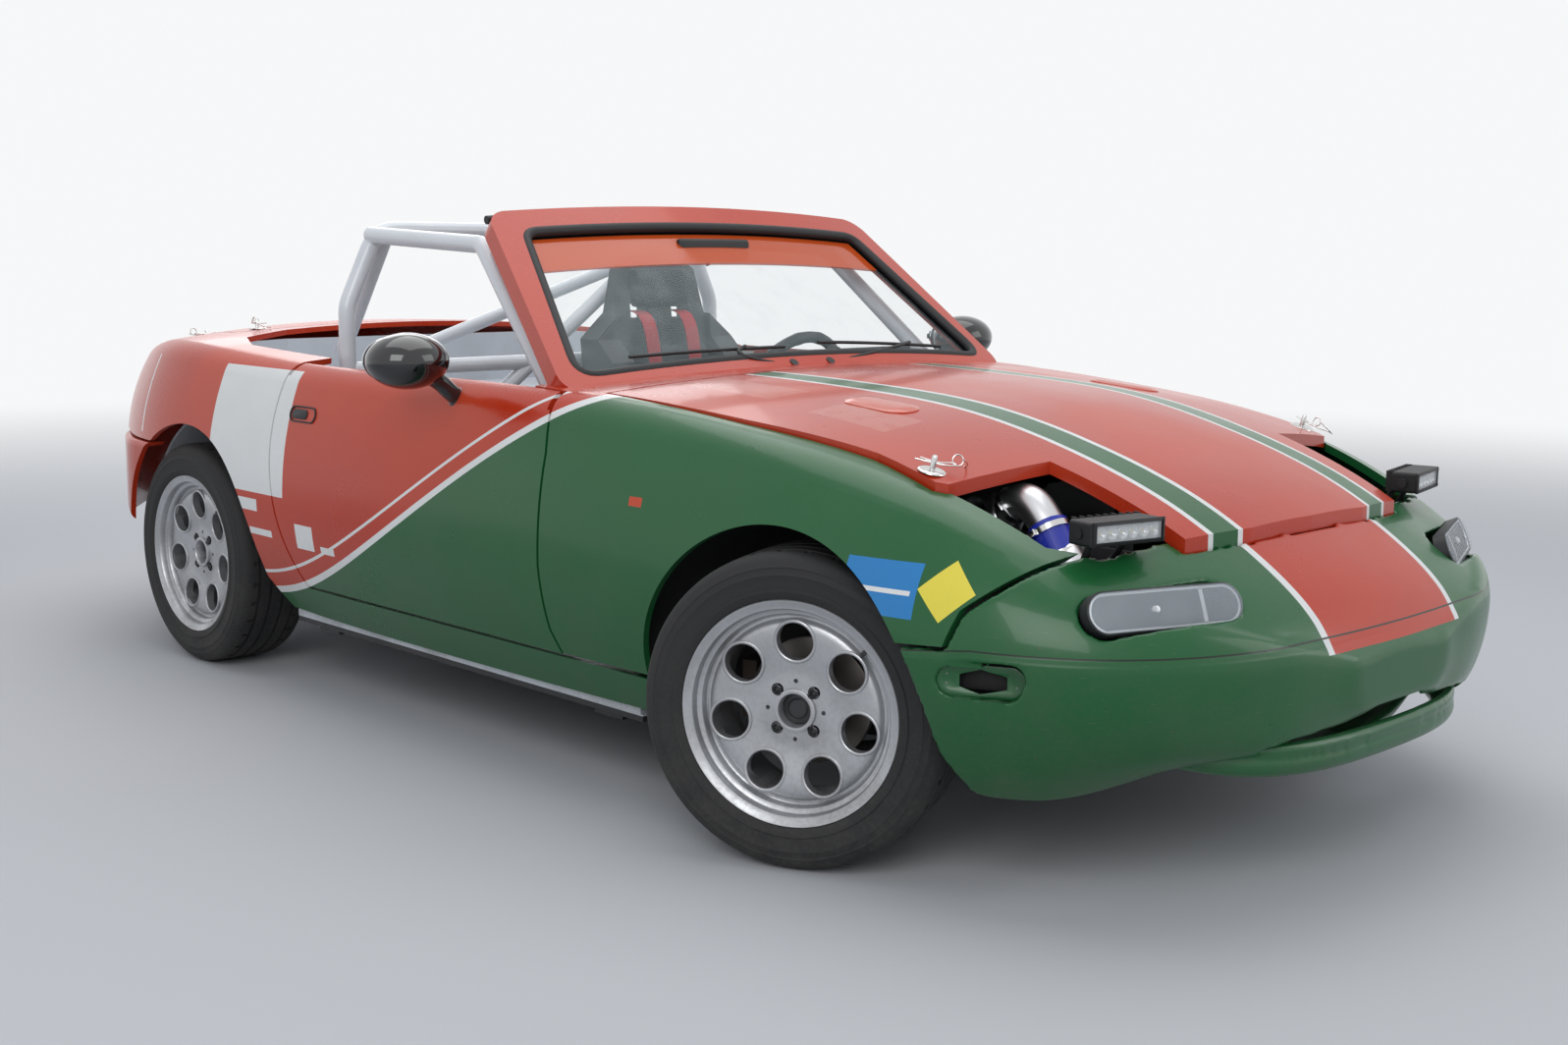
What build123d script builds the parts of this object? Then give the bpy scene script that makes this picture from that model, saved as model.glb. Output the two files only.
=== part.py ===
from build123d import *
from math import cos, sin, radians, sqrt
import os

# An open two-seat roadster prepared for track days, in millimetres.
# Forward is +X, the left side is +Y, up is +Z and the floor is Z = 0.

# Overall driving sizes
body_length = 3947.0
front_overhang = 765.0
wheelbase = 2265.0
front_track = 1450.0
rear_track = 1424.0
front_axle_x = body_length / 2 - front_overhang
rear_axle_x = front_axle_x - wheelbase
panel_gap = 7.0
skin = 14.0
fit_gap = 0.4
seat_gap = 0.3

# Wheels and tyres
tyre_radius = 293.0
rim_radius = 208.0
rim_seat_radius = 190.0
hub_hole_radius = 29.0
round_hole_count = 7
round_hole_radius = 36.5
round_hole_circle = 128.0
lug_count = 4
lug_circle = 50.0
disc_radius = 118.0
steer_rest = 24.0
kingpin_y = 675.0
axle_station = -50.0


def fore(distance):
    """Give the X of a place measured forward from the front axle."""
    return front_axle_x + distance


# Sections of the closed body form, from tail to nose.
# Columns: station from the front axle, floor height, floor half width, widest half width,
# height of the widest point, shoulder half width, shoulder height, crown height, rounding.
body_sections = [
    (-3130, 420, 330, 420, 540, 365, 688, 722, 50),
    (-3085, 385, 440, 535, 530, 455, 738, 790, 60),
    (-2990, 345, 528, 624, 525, 535, 790, 838, 70),
    (-2800, 300, 628, 722, 515, 624, 820, 872, 80),
    (-2520, 255, 730, 819, 505, 728, 842, 886, 80),
    (-2200, 225, 750, 836, 498, 755, 836, 880, 80),
    (-1700, 205, 757, 837, 490, 768, 820, 858, 75),
    (-1200, 200, 757, 834, 485, 772, 822, 850, 75),
    (-700, 202, 755, 829, 475, 762, 818, 850, 80),
    (-300, 206, 748, 824, 466, 738, 784, 836, 90),
    (0, 208, 732, 818, 458, 720, 744, 808, 95),
    (260, 200, 706, 798, 450, 694, 680, 745, 90),
    (450, 192, 600, 746, 444, 640, 605, 678, 80),
    (590, 250, 466, 650, 436, 545, 545, 603, 60),
    (685, 272, 354, 508, 428, 418, 496, 535, 46),
    (738, 292, 217, 335, 412, 265, 452, 474, 28),
    (765, 320, 96, 170, 398, 125, 418, 430, 14),
]


def body_outline(row, inset, drop):
    """Make one section of the body form, moved in by the inset and down at its floor."""
    station, floor_z, floor_w, wide_w, wide_z, shoulder_w, shoulder_z, crown_z, rounding = row
    if station > 0:
        station = station * (1 - inset / front_overhang)
    if station < -2500:
        station = -2500 + (station + 2500) * (1 - inset / 630.0)
    low_y, low_z = floor_w - inset, floor_z
    wide_y = wide_w - inset
    high_y, high_z = shoulder_w - inset, shoulder_z - inset
    with BuildSketch(Plane.YZ.offset(fore(station))) as section:
        with BuildLine():
            if drop:
                Polyline((-low_y, low_z), (-low_y, low_z - drop), (low_y, low_z - drop), (low_y, low_z))
            else:
                Line((-low_y, low_z), (low_y, low_z))
            low = TangentArc((wide_y, wide_z), (low_y, low_z), tangent=(0, -1))
            high = TangentArc((wide_y, wide_z), (high_y, high_z), tangent=(0, 1))
            ThreePointArc((high_y, high_z), (0, crown_z - inset), (-high_y, high_z))
            mirror(low, about=Plane.YZ)
            mirror(high, about=Plane.YZ)
        make_face()
        corners = section.vertices().filter_by_position(Axis.Y, high_z - 0.1, high_z + 0.1)
        fillet(corners, max(rounding - inset, 6))
    return section.sketch


def body_form(inset, drop=0.0, rows=body_sections):
    """Loft the body form through its sections."""
    with BuildPart() as form:
        loft(sections=[body_outline(row, inset, drop) for row in rows])
    return form.part


def side_region(points, y_near, y_far):
    """Extrude a side-view outline of (station, height) points between two Y values."""
    with BuildPart() as region:
        with BuildSketch(Plane.XZ.offset(-y_near)):
            Polygon(*[(fore(station), z) for station, z in points], align=None)
        extrude(amount=y_near - y_far)
    return region.part


def plan_region(points, grow, z_low, z_high):
    """Extrude a closed plan outline of (station, y) points, grown by a margin."""
    with BuildPart() as region:
        with BuildSketch(Plane.XY.offset(z_low)):
            Polygon(*[(fore(station), y) for station, y in points], align=None)
            if grow:
                offset(amount=grow, kind=Kind.INTERSECTION)
        extrude(amount=z_high - z_low)
    return region.part


def both_halves(half):
    """Close a half outline over the centre line."""
    return half + [(x, -y) for x, y in reversed(half) if y != 0]


def wheel_arch(station, centre_z, radius, y_near, y_far, skirt):
    """Make the opening of a wheel arch: a cylinder over a flared skirt."""
    with BuildPart() as arch:
        with BuildSketch(Plane.XZ.offset(-y_near)):
            with Locations((fore(station), centre_z)):
                Circle(radius)
            Polygon(*[(fore(x), z) for x, z in skirt], align=None)
        extrude(amount=y_near - y_far)
    return arch.part


def box_between(low, high):
    """Make a box from its lowest to its highest corner, given as (station, y, z)."""
    size = [b - a for a, b in zip(low, high)]
    with BuildPart() as block:
        with Locations((fore(low[0]), low[1], low[2])):
            Box(*size, align=(Align.MIN, Align.MIN, Align.MIN))
    return block.part


def rod(start, end, radius):
    """Make a round bar between two (station, y, z) points."""
    a = Vector(fore(start[0]), start[1], start[2])
    b = Vector(fore(end[0]), end[1], end[2])
    with BuildPart() as bar:
        with BuildSketch(Plane(origin=a, z_dir=b - a)):
            Circle(radius)
        extrude(amount=(b - a).length)
    return bar.part


def bent_tube(points, radius, bend):
    """Sweep a round tube along straight runs joined by arcs through (station, y, z) points."""
    corners = [(fore(x), y, z) for x, y, z in points]
    with BuildPart() as tube:
        with BuildLine() as path:
            FilletPolyline(*corners, radius=bend)
        with BuildSketch(Plane(origin=path.line @ 0, z_dir=path.line % 0)):
            Circle(radius)
        sweep()
    return tube.part


def save(part, name):
    """Label a finished piece and write its file."""
    part.label = name
    export_step(part, "parts/" + name + ".step")


os.makedirs("parts", exist_ok=True)

# Body form, and the same form moved in by the skin, by the fit behind it and by the door wall
door_wall = 68.0
outer_form = body_form(0)
skin_form = body_form(skin, 60)
fit_form = body_form(skin + fit_gap, 60)
door_form = body_form(door_wall, 80, body_sections[4:11])

# Wheel arches: station, height and radius of the lip, and the flare below it
front_lip = (-45, 275, 352)
rear_lip = (-2240, 282, 360)
front_flare = [(-397, 275), (307, 275), (338, 180), (345, 60), (-400, 60)]
rear_flare = [(-2600, 282), (-1880, 282), (-1812, 200), (-1800, 100), (-2620, 100)]
front_arch_left = wheel_arch(*front_lip, 420, 900, front_flare)
rear_arch_left = wheel_arch(*rear_lip, 520, 900, rear_flare)

# Door outline in side view
door_inner_y = 735.0
hinge_y = 832.0
door_front = [(-735, 950), (-735, 815), (-712, 700), (-706, 470), (-690, 340), (-668, 288)]
door_rear_mid = (-1779, 560)
door_rear_low = (-1672, 288)
door_rear_top = (-1735, 950)


def door_region(grow, y_near, y_far):
    """Extrude the door's side-view outline, grown by a margin."""
    with BuildPart() as region:
        with BuildSketch(Plane.XZ.offset(-y_near)):
            with BuildLine():
                Polyline(*[(fore(x), z) for x, z in door_front])
                Line((fore(door_front[-1][0]), door_front[-1][1]), (fore(door_rear_low[0]), door_rear_low[1]))
                ThreePointArc(*[(fore(x), z) for x, z in (door_rear_low, door_rear_mid, door_rear_top)])
                Line((fore(door_rear_top[0]), door_rear_top[1]), (fore(door_front[0][0]), door_front[0][1]))
            make_face()
            if grow:
                offset(amount=grow, kind=Kind.INTERSECTION)
        extrude(amount=y_near - y_far)
    return region.part


# Plan outlines of the lids and openings, left half as (station, y)
bonnet_half = [(-640, 0), (-640, 690), (-250, 670), (60, 642), (205, 652), (224, 638), (254, 392), (532, 372), (556, 200), (562, 0)]
pit_half = [(224, 638), (254, 392), (506, 374), (484, 540), (420, 612)]
cowl_half = [(-647, 0), (-647, 722), (-722, 728), (-840, 728), (-840, 0)]
boot_half = [(-2470, 0), (-2470, 500), (-2510, 532), (-2860, 486), (-3010, 404), (-3058, 350), (-3072, 0)]
well_half = [(-1500, 0), (-1500, 655), (-2180, 655), (-2330, 590), (-2400, 430), (-2410, 0)]

bonnet_gap = plan_region(both_halves(bonnet_half), panel_gap, 400, 1000)
cowl_gap = plan_region(both_halves(cowl_half), fit_gap, 600, 1000)
boot_gap = plan_region(both_halves(boot_half), panel_gap, 600, 1000)
well_hole = plan_region(both_halves(well_half), 0, 600, 1000)
pit_left = plan_region(pit_half, 0, 400, 1000)
door_gap_left = door_region(panel_gap, 400, 900)

# Seams of the front cover, wings, sills and rear cover in side view
cover_seam = [(200, -50), (200, 455), (345, 463), (368, 525), (487, 632), (487, 950), (1000, 950), (1000, -50)]
wing_outline = [(-900, 291), (190, 291), (190, 460), (341, 468), (362, 530), (481, 637), (481, 950), (-900, 950)]
side_outline = [(-405, 120), (-405, 281), (-1500, 281), (-1500, 950), (-3200, 950), (-3200, 582), (-2420, 582),
                (-2420, 120)]
quarter_y = 600.0
deck_front = -1790.0


def tail_lamp_region(shrink):
    """Extrude the pill outlines of both tail lamps through the tail panel."""
    with BuildPart() as region:
        with BuildSketch(Plane.YZ.offset(fore(-3200))):
            with Locations((tail_lamp_y, tail_lamp_z), (-tail_lamp_y, tail_lamp_z)):
                SlotOverall(tail_lamp_length - shrink, tail_lamp_height - shrink)
        extrude(amount=200)
    return region.part


tail_lamp_y = 425.0
tail_lamp_z = 650.0
tail_lamp_length = 150.0
tail_lamp_height = 82.0

# Front wings
with BuildPart() as wing_left:
    add(outer_form)
    add(side_region(wing_outline, 560, 900), mode=Mode.INTERSECT)
    add(skin_form, mode=Mode.SUBTRACT)
    add(bonnet_gap, mode=Mode.SUBTRACT)
    add(cowl_gap, mode=Mode.SUBTRACT)
    add(pit_left, mode=Mode.SUBTRACT)
    add(door_gap_left, mode=Mode.SUBTRACT)
    add(front_arch_left, mode=Mode.SUBTRACT)
save(wing_left.part, "front_wing_left")

with BuildPart() as wing_right:
    mirror(wing_left.part, about=Plane.XZ)
save(wing_right.part, "front_wing_right")

# Front cover with its mouth, lamp pockets and side recesses
mouth_half_width = 388.0
mouth_corner_z = 288.0
mouth_top_z = 308.0
mouth_low_z = 226.0
lip_line = [(600, 396, 290), (612, 250, 234), (622, 90, 208), (622, -90, 208), (612, -250, 234), (600, -396, 290)]
lip_radius = 14.0
lamp_place = (598, 520, 537)
lamp_length = 310.0
lamp_height = 76.0
lamp_turn = 12.5
lamp_lean = 24.0
marker_place = (425, 790, 424)
marker_length = 148.0
marker_height = 50.0
marker_turn = 62.0


def pill_on(place, turn, lean, length, height, depth, inset=0.0):
    """Make a pill-shaped plug that faces forward, turned outward by turn and up by lean."""
    face_dir = Vector(cos(radians(turn)) * cos(radians(lean)), sin(radians(turn)) * cos(radians(lean)),
                      sin(radians(lean)))
    along = Vector(-sin(radians(turn)), cos(radians(turn)), 0)
    origin = Vector(fore(place[0]), place[1], place[2]) - face_dir * depth
    with BuildPart() as plug:
        with BuildSketch(Plane(origin=origin, x_dir=along, z_dir=face_dir)):
            SlotOverall(length - 2 * inset, height - 2 * inset)
        extrude(amount=2 * depth)
    return plug.part


def mouth_region(grow, x_low, x_high):
    """Extrude the smiling outline of the mouth forward, grown by a margin."""
    with BuildPart() as region:
        with BuildSketch(Plane.YZ.offset(fore(x_low))):
            with BuildLine():
                ThreePointArc((-mouth_half_width, mouth_corner_z), (0, mouth_low_z),
                              (mouth_half_width, mouth_corner_z))
                ThreePointArc((mouth_half_width, mouth_corner_z), (0, mouth_top_z),
                              (-mouth_half_width, mouth_corner_z))
            make_face()
            if grow:
                offset(amount=grow)
        extrude(amount=x_high - x_low)
    return region.part


lamp_pocket_left = pill_on(lamp_place, lamp_turn, lamp_lean, lamp_length, lamp_height, 45)
marker_pocket_left = pill_on(marker_place, marker_turn, 0, marker_length, marker_height, 45)

with BuildPart() as front_cover:
    add(outer_form)
    add(side_region(cover_seam, -900, 900), mode=Mode.INTERSECT)
    add(skin_form, mode=Mode.SUBTRACT)
    add(bonnet_gap, mode=Mode.SUBTRACT)
    add(mouth_region(0, 450, 900), mode=Mode.SUBTRACT)
    for cutter in (pit_left, front_arch_left, lamp_pocket_left, marker_pocket_left):
        add(cutter, mode=Mode.SUBTRACT)
        add(mirror(cutter, about=Plane.XZ), mode=Mode.SUBTRACT)
    add(bent_tube(lip_line, lip_radius, 120))
    with BuildSketch(Plane.YZ.offset(fore(520))):
        with BuildLine():
            ThreePointArc((-398, 282), (0, 194), (398, 282))
            Line((398, 282), (398, 292))
            ThreePointArc((398, 292), (0, 222), (-398, 292))
            Line((-398, 292), (-398, 282))
        make_face()
    extrude(amount=90)
save(front_cover.part, "front_cover")

# Bonnet, lifted a little at its front edge about its rear hinge
bonnet_wall = 20.0
bonnet_hinge = (-652.0, 862.0)
bonnet_lift = 0.9
bonnet_form = body_form(bonnet_wall, 60, body_sections[:-1])
with BuildPart() as bonnet_panel:
    add(outer_form)
    add(plan_region(both_halves(bonnet_half), 0, 500, 1000), mode=Mode.INTERSECT)
    add(bonnet_form, mode=Mode.SUBTRACT)
hinge_line = Axis((fore(bonnet_hinge[0]), 0, bonnet_hinge[1]), (0, 1, 0))
with BuildPart() as bonnet:
    add(bonnet_panel.part.rotate(hinge_line, -bonnet_lift))
save(bonnet.part, "bonnet")

# Cowl in front of the windscreen
with BuildPart() as cowl:
    add(outer_form)
    add(plan_region(both_halves(cowl_half), 0, 700, 1000), mode=Mode.INTERSECT)
    add(skin_form, mode=Mode.SUBTRACT)
save(cowl.part, "cowl_panel")

# Doors: a skin at full size and a thicker wall that stops short all round
door_step = 9.0
with BuildPart() as door_left:
    add(outer_form)
    add(door_region(-door_step, door_inner_y, 900), mode=Mode.INTERSECT)
    add(door_form, mode=Mode.SUBTRACT)
with BuildPart() as door_skin:
    add(outer_form)
    add(door_region(0, 775, 900), mode=Mode.INTERSECT)
    add(skin_form, mode=Mode.SUBTRACT)
with BuildPart() as door_whole_left:
    add(door_left.part)
    add(door_skin.part)
save(door_whole_left.part, "door_left")
with BuildPart() as door_whole_right:
    mirror(door_whole_left.part, about=Plane.XZ)
save(door_whole_right.part, "door_right")

# Sides: rear quarter and sill in one panel
with BuildPart() as side_left:
    add(outer_form)
    add(side_region(side_outline, quarter_y, 900), mode=Mode.INTERSECT)
    add(skin_form, mode=Mode.SUBTRACT)
    add(door_gap_left, mode=Mode.SUBTRACT)
    add(well_hole, mode=Mode.SUBTRACT)
    add(rear_arch_left, mode=Mode.SUBTRACT)
    add(front_arch_left, mode=Mode.SUBTRACT)
save(side_left.part, "body_side_left")
with BuildPart() as side_right:
    mirror(side_left.part, about=Plane.XZ)
save(side_right.part, "body_side_right")

# Rear deck: frame round the boot lid and the tail panel
deck_outline = [(deck_front, quarter_y - fit_gap), (-3200, quarter_y - fit_gap), (-3200, fit_gap - quarter_y),
                (deck_front, fit_gap - quarter_y)]
with BuildPart() as rear_deck:
    add(outer_form)
    add(plan_region(deck_outline, 0, 582, 1000), mode=Mode.INTERSECT)
    add(skin_form, mode=Mode.SUBTRACT)
    add(boot_gap, mode=Mode.SUBTRACT)
    add(well_hole, mode=Mode.SUBTRACT)
    add(tail_lamp_region(0), mode=Mode.SUBTRACT)
save(rear_deck.part, "rear_deck")

# Tail lamps: lenses flush with the tail panel
with BuildPart() as tail_lamps:
    add(outer_form)
    add(tail_lamp_region(2 * fit_gap), mode=Mode.INTERSECT)
    add(skin_form, mode=Mode.SUBTRACT)
save(tail_lamps.part, "tail_lamps")

# Boot lid
with BuildPart() as boot_lid:
    add(outer_form)
    add(plan_region(both_halves(boot_half), 0, 600, 1000), mode=Mode.INTERSECT)
    add(bonnet_form, mode=Mode.SUBTRACT)
save(boot_lid.part, "boot_lid")

# Rear cover: a plan outline with rounded corners, open below
cover_low_z = 345.0
cover_top_z = 576.0


cover_half = [(-2400, 837.5), (-2580, 826), (-2780, 740), (-3020, 560), (-3142, 330), (-3182, 60)]


def rear_cover_shape(inset, z_low, z_high):
    """Extrude the plan outline of the rear cover, moved in by the inset."""
    outline = [(fore(x), y) for x, y in both_halves(cover_half)]
    with BuildPart() as shape:
        with BuildSketch(Plane.XY.offset(z_low)):
            with BuildLine():
                back = FilletPolyline(*outline, radius=cover_rounding)
                Line(back @ 1, back @ 0)
            make_face()
            if inset:
                offset(amount=-inset)
        extrude(amount=z_high - z_low)
    return shape.part


cover_rounding = 290.0
with BuildPart() as rear_cover:
    add(rear_cover_shape(0, cover_low_z, cover_top_z))
    edges = rear_cover.edges().filter_by_position(Axis.X, fore(-3190), fore(-2410))
    fillet(edges.group_by(Axis.Z)[-1], 14)
    edges = rear_cover.edges().filter_by_position(Axis.X, fore(-3190), fore(-2410))
    fillet(edges.group_by(Axis.Z)[0], 26)
    add(rear_cover_shape(skin, cover_low_z - 10, cover_top_z - 12), mode=Mode.SUBTRACT)
    add(rear_cover_shape(58, cover_low_z, cover_top_z + 10), mode=Mode.SUBTRACT)
    add(box_between((-2480, -780, cover_low_z - 10), (-2380, 780, cover_top_z + 10)), mode=Mode.SUBTRACT)
    add(rear_arch_left, mode=Mode.SUBTRACT)
    add(mirror(rear_arch_left, about=Plane.XZ), mode=Mode.SUBTRACT)
save(rear_cover.part, "rear_cover")

# Windscreen: a bowed frame on the cowl, leaning back, and its glass
screen_foot = (-735.0, 0.0, 832.0)
screen_rise = 368.0
screen_run = 452.0
screen_bow = 6000.0
screen_slope = sqrt(screen_rise ** 2 + screen_run ** 2)
screen_up = Vector(-screen_run / screen_slope, 0, screen_rise / screen_slope)
screen_out = Vector(screen_rise / screen_slope, 0, screen_run / screen_slope)
screen_origin = Vector(fore(screen_foot[0]), 0, screen_foot[2])
screen_plane = Plane(origin=screen_origin, x_dir=(0, 1, 0), z_dir=Vector(0, 1, 0).cross(screen_up))
frame_corners = [(-724, -15), (724, -15), (600, 578), (-600, 578)]
glass_corners = [(-662, 42), (662, 42), (537, 508), (-537, 508)]
frame_depth = 40.0
glass_thick = 5.0


def screen_slab(corners, rounding, depth, grow=0.0):
    """Make a bowed slab in the windscreen's plane with the given outline."""
    with BuildPart() as slab:
        with BuildSketch(screen_plane) as outline:
            Polygon(*corners, align=None)
            fillet(outline.vertices(), rounding)
            if grow:
                offset(amount=grow)
        extrude(amount=160, both=True)
        with BuildSketch(Plane(origin=screen_origin - screen_up * 100 - screen_out * screen_bow,
                               x_dir=(0, 1, 0), z_dir=screen_up)):
            Circle(screen_bow + depth / 2)
            Circle(screen_bow - depth / 2, mode=Mode.SUBTRACT)
        extrude(amount=900, mode=Mode.INTERSECT)
    return slab.part


with BuildPart() as screen_frame:
    add(screen_slab(frame_corners, 60, frame_depth))
    add(screen_slab(glass_corners, 48, frame_depth * 2), mode=Mode.SUBTRACT)
    add(outer_form, mode=Mode.SUBTRACT)
save(screen_frame.part, "windscreen_frame")
with BuildPart() as screen_glass:
    add(screen_slab(glass_corners, 48, glass_thick, -1))
    add(outer_form, mode=Mode.SUBTRACT)
save(screen_glass.part, "windscreen_glass")

# Floor: pan, tunnel, sill boxes and seat rails in one pressing
floor_top = 185.0
floor_thick = 15.0
tunnel_half = 118.0
tunnel_top = 415.0
seat_bolt_x = 400.0
seat_bolt_y = 350.0
seat_bolt_hole = 5.5
seat_centre_x = -1400.0
seat_centre_y = 345.0
with BuildPart() as floor_tub:
    add(box_between((-1829.6, -738, floor_top - floor_thick), (-478.4, 738, floor_top)))
    add(box_between((-1826, -tunnel_half - 15, floor_top), (-484, tunnel_half + 15, tunnel_top)))
    add(box_between((-1830, -tunnel_half, 100), (-480, tunnel_half, tunnel_top - 15)), mode=Mode.SUBTRACT)
    for y_low, y_high in ((690, 826), (-826, -690)):
        add(box_between((-1826, y_low, floor_top), (-484, y_high, 274)))
    for pad_y in (700, -700):
        for pad_x in (-600, -1700):
            add(box_between((pad_x - 45, pad_y - 28, 158), (pad_x + 45, pad_y + 28, floor_top)))
    for rail_y in (seat_bolt_y / 2, -seat_bolt_y / 2):
        for side in (seat_centre_y, -seat_centre_y):
            add(box_between((seat_centre_x - 260, side + rail_y - 22, floor_top),
                            (seat_centre_x + 260, side + rail_y + 22, floor_top + 40)))
    add(fit_form, mode=Mode.INTERSECT)
    with Locations(Plane.XY.offset(floor_top + 40)):
        with Locations((fore(seat_centre_x), -seat_centre_y)):
            with GridLocations(seat_bolt_x, seat_bolt_y, 2, 2):
                Hole(seat_bolt_hole)
save(floor_tub.part, "floor_tub")

# Posts that carry the bonnet at its pins, cut off just under it
bonnet_pin = (176, 625)
with BuildPart() as post_pair:
    for s in (1, -1):
        add(rod((bonnet_pin[0], s * bonnet_pin[1], 601), (bonnet_pin[0], s * bonnet_pin[1], 780), 9))
    add(bonnet_form.rotate(hinge_line, -bonnet_lift).translate((0, 0, -seat_gap)), mode=Mode.INTERSECT)
bonnet_posts = post_pair.part

# Front structure: firewall, inner wings, wheel liners and the bar behind the cover
liner = (-45, 275, 395)
intake_line = [(300, -300, 560), (345, -470, 600), (420, -470, 520), (494, -300, 391)]
inner_wing_y = 396.0
with BuildPart() as front_structure:
    add(box_between((-478, -700, floor_top - floor_thick), (-464, 700, 770)))
    for y_low, y_high in ((inner_wing_y, inner_wing_y + 14), (-inner_wing_y - 14, -inner_wing_y)):
        add(box_between((-478, y_low, 480), (470, y_high, 600)))
        add(box_between((-478, y_low, 250), (-300, y_high, 600)))
        add(box_between((300, y_low, 250), (470, y_high, 600)))
    add(box_between((456, -inner_wing_y - 14, 250), (470, inner_wing_y + 14, 600)))
    add(box_between((456, -700, 250), (470, 700, 410)))
    add(box_between((440, -310, 300), (490, 310, 540)), mode=Mode.SUBTRACT)
    for y_low, y_high in ((inner_wing_y, 790), (-790, -inner_wing_y)):
        with BuildSketch(Plane.XZ.offset(-y_low)):
            with Locations((fore(liner[0]), liner[1])):
                Circle(liner[2] + 8)
                Circle(liner[2], mode=Mode.SUBTRACT)
            with Locations((fore(liner[0]), liner[1] - 500)):
                Rectangle(1200, 1000, mode=Mode.SUBTRACT)
        extrude(amount=y_low - y_high)
    add(fit_form, mode=Mode.INTERSECT)
    add(box_between((-490, -145, 100), (-450, 145, 430)), mode=Mode.SUBTRACT)
    add(bent_tube(intake_line, 36, 45), mode=Mode.SUBTRACT)
    add(bonnet_posts)
save(front_structure.part, "front_structure")

# Beam that fills the rear cover behind the tail panel
with BuildPart() as rear_beam:
    add(rear_cover_shape(skin + seat_gap, 430, 520))
    add(box_between((-3200, -350, 425), (-3084, 350, 525)), mode=Mode.INTERSECT)

# Rear tub: bulkhead, well behind the seats, boot floor and inner arches
rear_liner = (-2240, 282, 372)
with BuildPart() as rear_tub:
    add(box_between((-1844, -690, floor_top - floor_thick), (-1830, 690, 700)))
    add(plan_region(both_halves(well_half), 12, 690, 846))
    add(plan_region(both_halves(well_half), -4, 702, 900), mode=Mode.SUBTRACT)
    add(box_between((-1822, -900, 600), (-1400, 900, 900)), mode=Mode.SUBTRACT)
    add(box_between((-3080, -380, 330), (-2940, 380, 344)))
    add(box_between((-2950, -470, 330), (-2300, 470, 344)))
    add(box_between((-2600, -530, 330), (-2300, 530, 344)))
    add(box_between((-2314, -470, 330), (-2300, 470, 700)))
    for y_low, y_high in ((520, 742), (-742, -520)):
        with BuildSketch(Plane.XZ.offset(-y_low)):
            with Locations((fore(rear_liner[0]), rear_liner[1])):
                Circle(rear_liner[2] + 8)
                Circle(rear_liner[2], mode=Mode.SUBTRACT)
            with Locations((fore(rear_liner[0]), rear_liner[1] - 500)):
                Rectangle(1200, 1000, mode=Mode.SUBTRACT)
        extrude(amount=y_low - y_high)
        wall_y = y_low if y_low > 0 else y_high - 14
        with BuildSketch(Plane.XZ.offset(-wall_y)):
            with Locations((fore(rear_liner[0]), rear_liner[1])):
                Circle(rear_liner[2] + 8)
            with Locations((fore(rear_liner[0]), rear_liner[1] - 500)):
                Rectangle(1200, 1000, mode=Mode.SUBTRACT)
        extrude(amount=-14)
    add(box_between((-2292, -560, 250), (-2238, 560, 320)), mode=Mode.SUBTRACT)
    add(box_between((-1850, -45, 160), (-1820, 45, 340)), mode=Mode.SUBTRACT)
    add(box_between((-3094, -360, 330), (-3080, 360, 560)))
    add(fit_form, mode=Mode.INTERSECT)
    add(rear_beam.part)
save(rear_tub.part, "rear_tub")

# Roll cage: main hoop, side bars down the pillars, stays and braces, welded into one
cage_tube = 21.0
hoop_x = -1778.0
hoop_y = 610.0
hoop_top = 1150.0
hoop_base = floor_top + seat_gap
with BuildPart() as roll_cage:
    add(bent_tube([(hoop_x, hoop_y, hoop_base), (hoop_x, hoop_y, 960), (hoop_x, 520, hoop_top),
                   (hoop_x, -520, hoop_top), (hoop_x, -hoop_y, 960), (hoop_x, -hoop_y, hoop_base)],
                  cage_tube, 90))
    for s in (1, -1):
        add(bent_tube([(hoop_x, s * 535, hoop_top - 14), (-1262, s * 560, hoop_top - 34),
                       (-880, s * 636, 780), (-650, s * 640, 320), (-650, s * 640, hoop_base)], cage_tube, 60))
        add(rod((hoop_x - 8, s * 490, hoop_top - 20), (-2070, s * 500, 718), cage_tube - 1))
        add(rod((hoop_x, s * hoop_y, 430), (-690, s * 639, 470), cage_tube - 1))
    add(rod((hoop_x, 430, hoop_top - 6), (hoop_x, -hoop_y, 380), cage_tube - 1))
    add(rod((hoop_x, hoop_y, 800), (hoop_x, -hoop_y, 800), cage_tube - 1))
    add(rod((-2050, -499, 745), (hoop_x - 14, 470, hoop_top - 30), cage_tube - 3))
save(roll_cage.part, "roll_cage")

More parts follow.
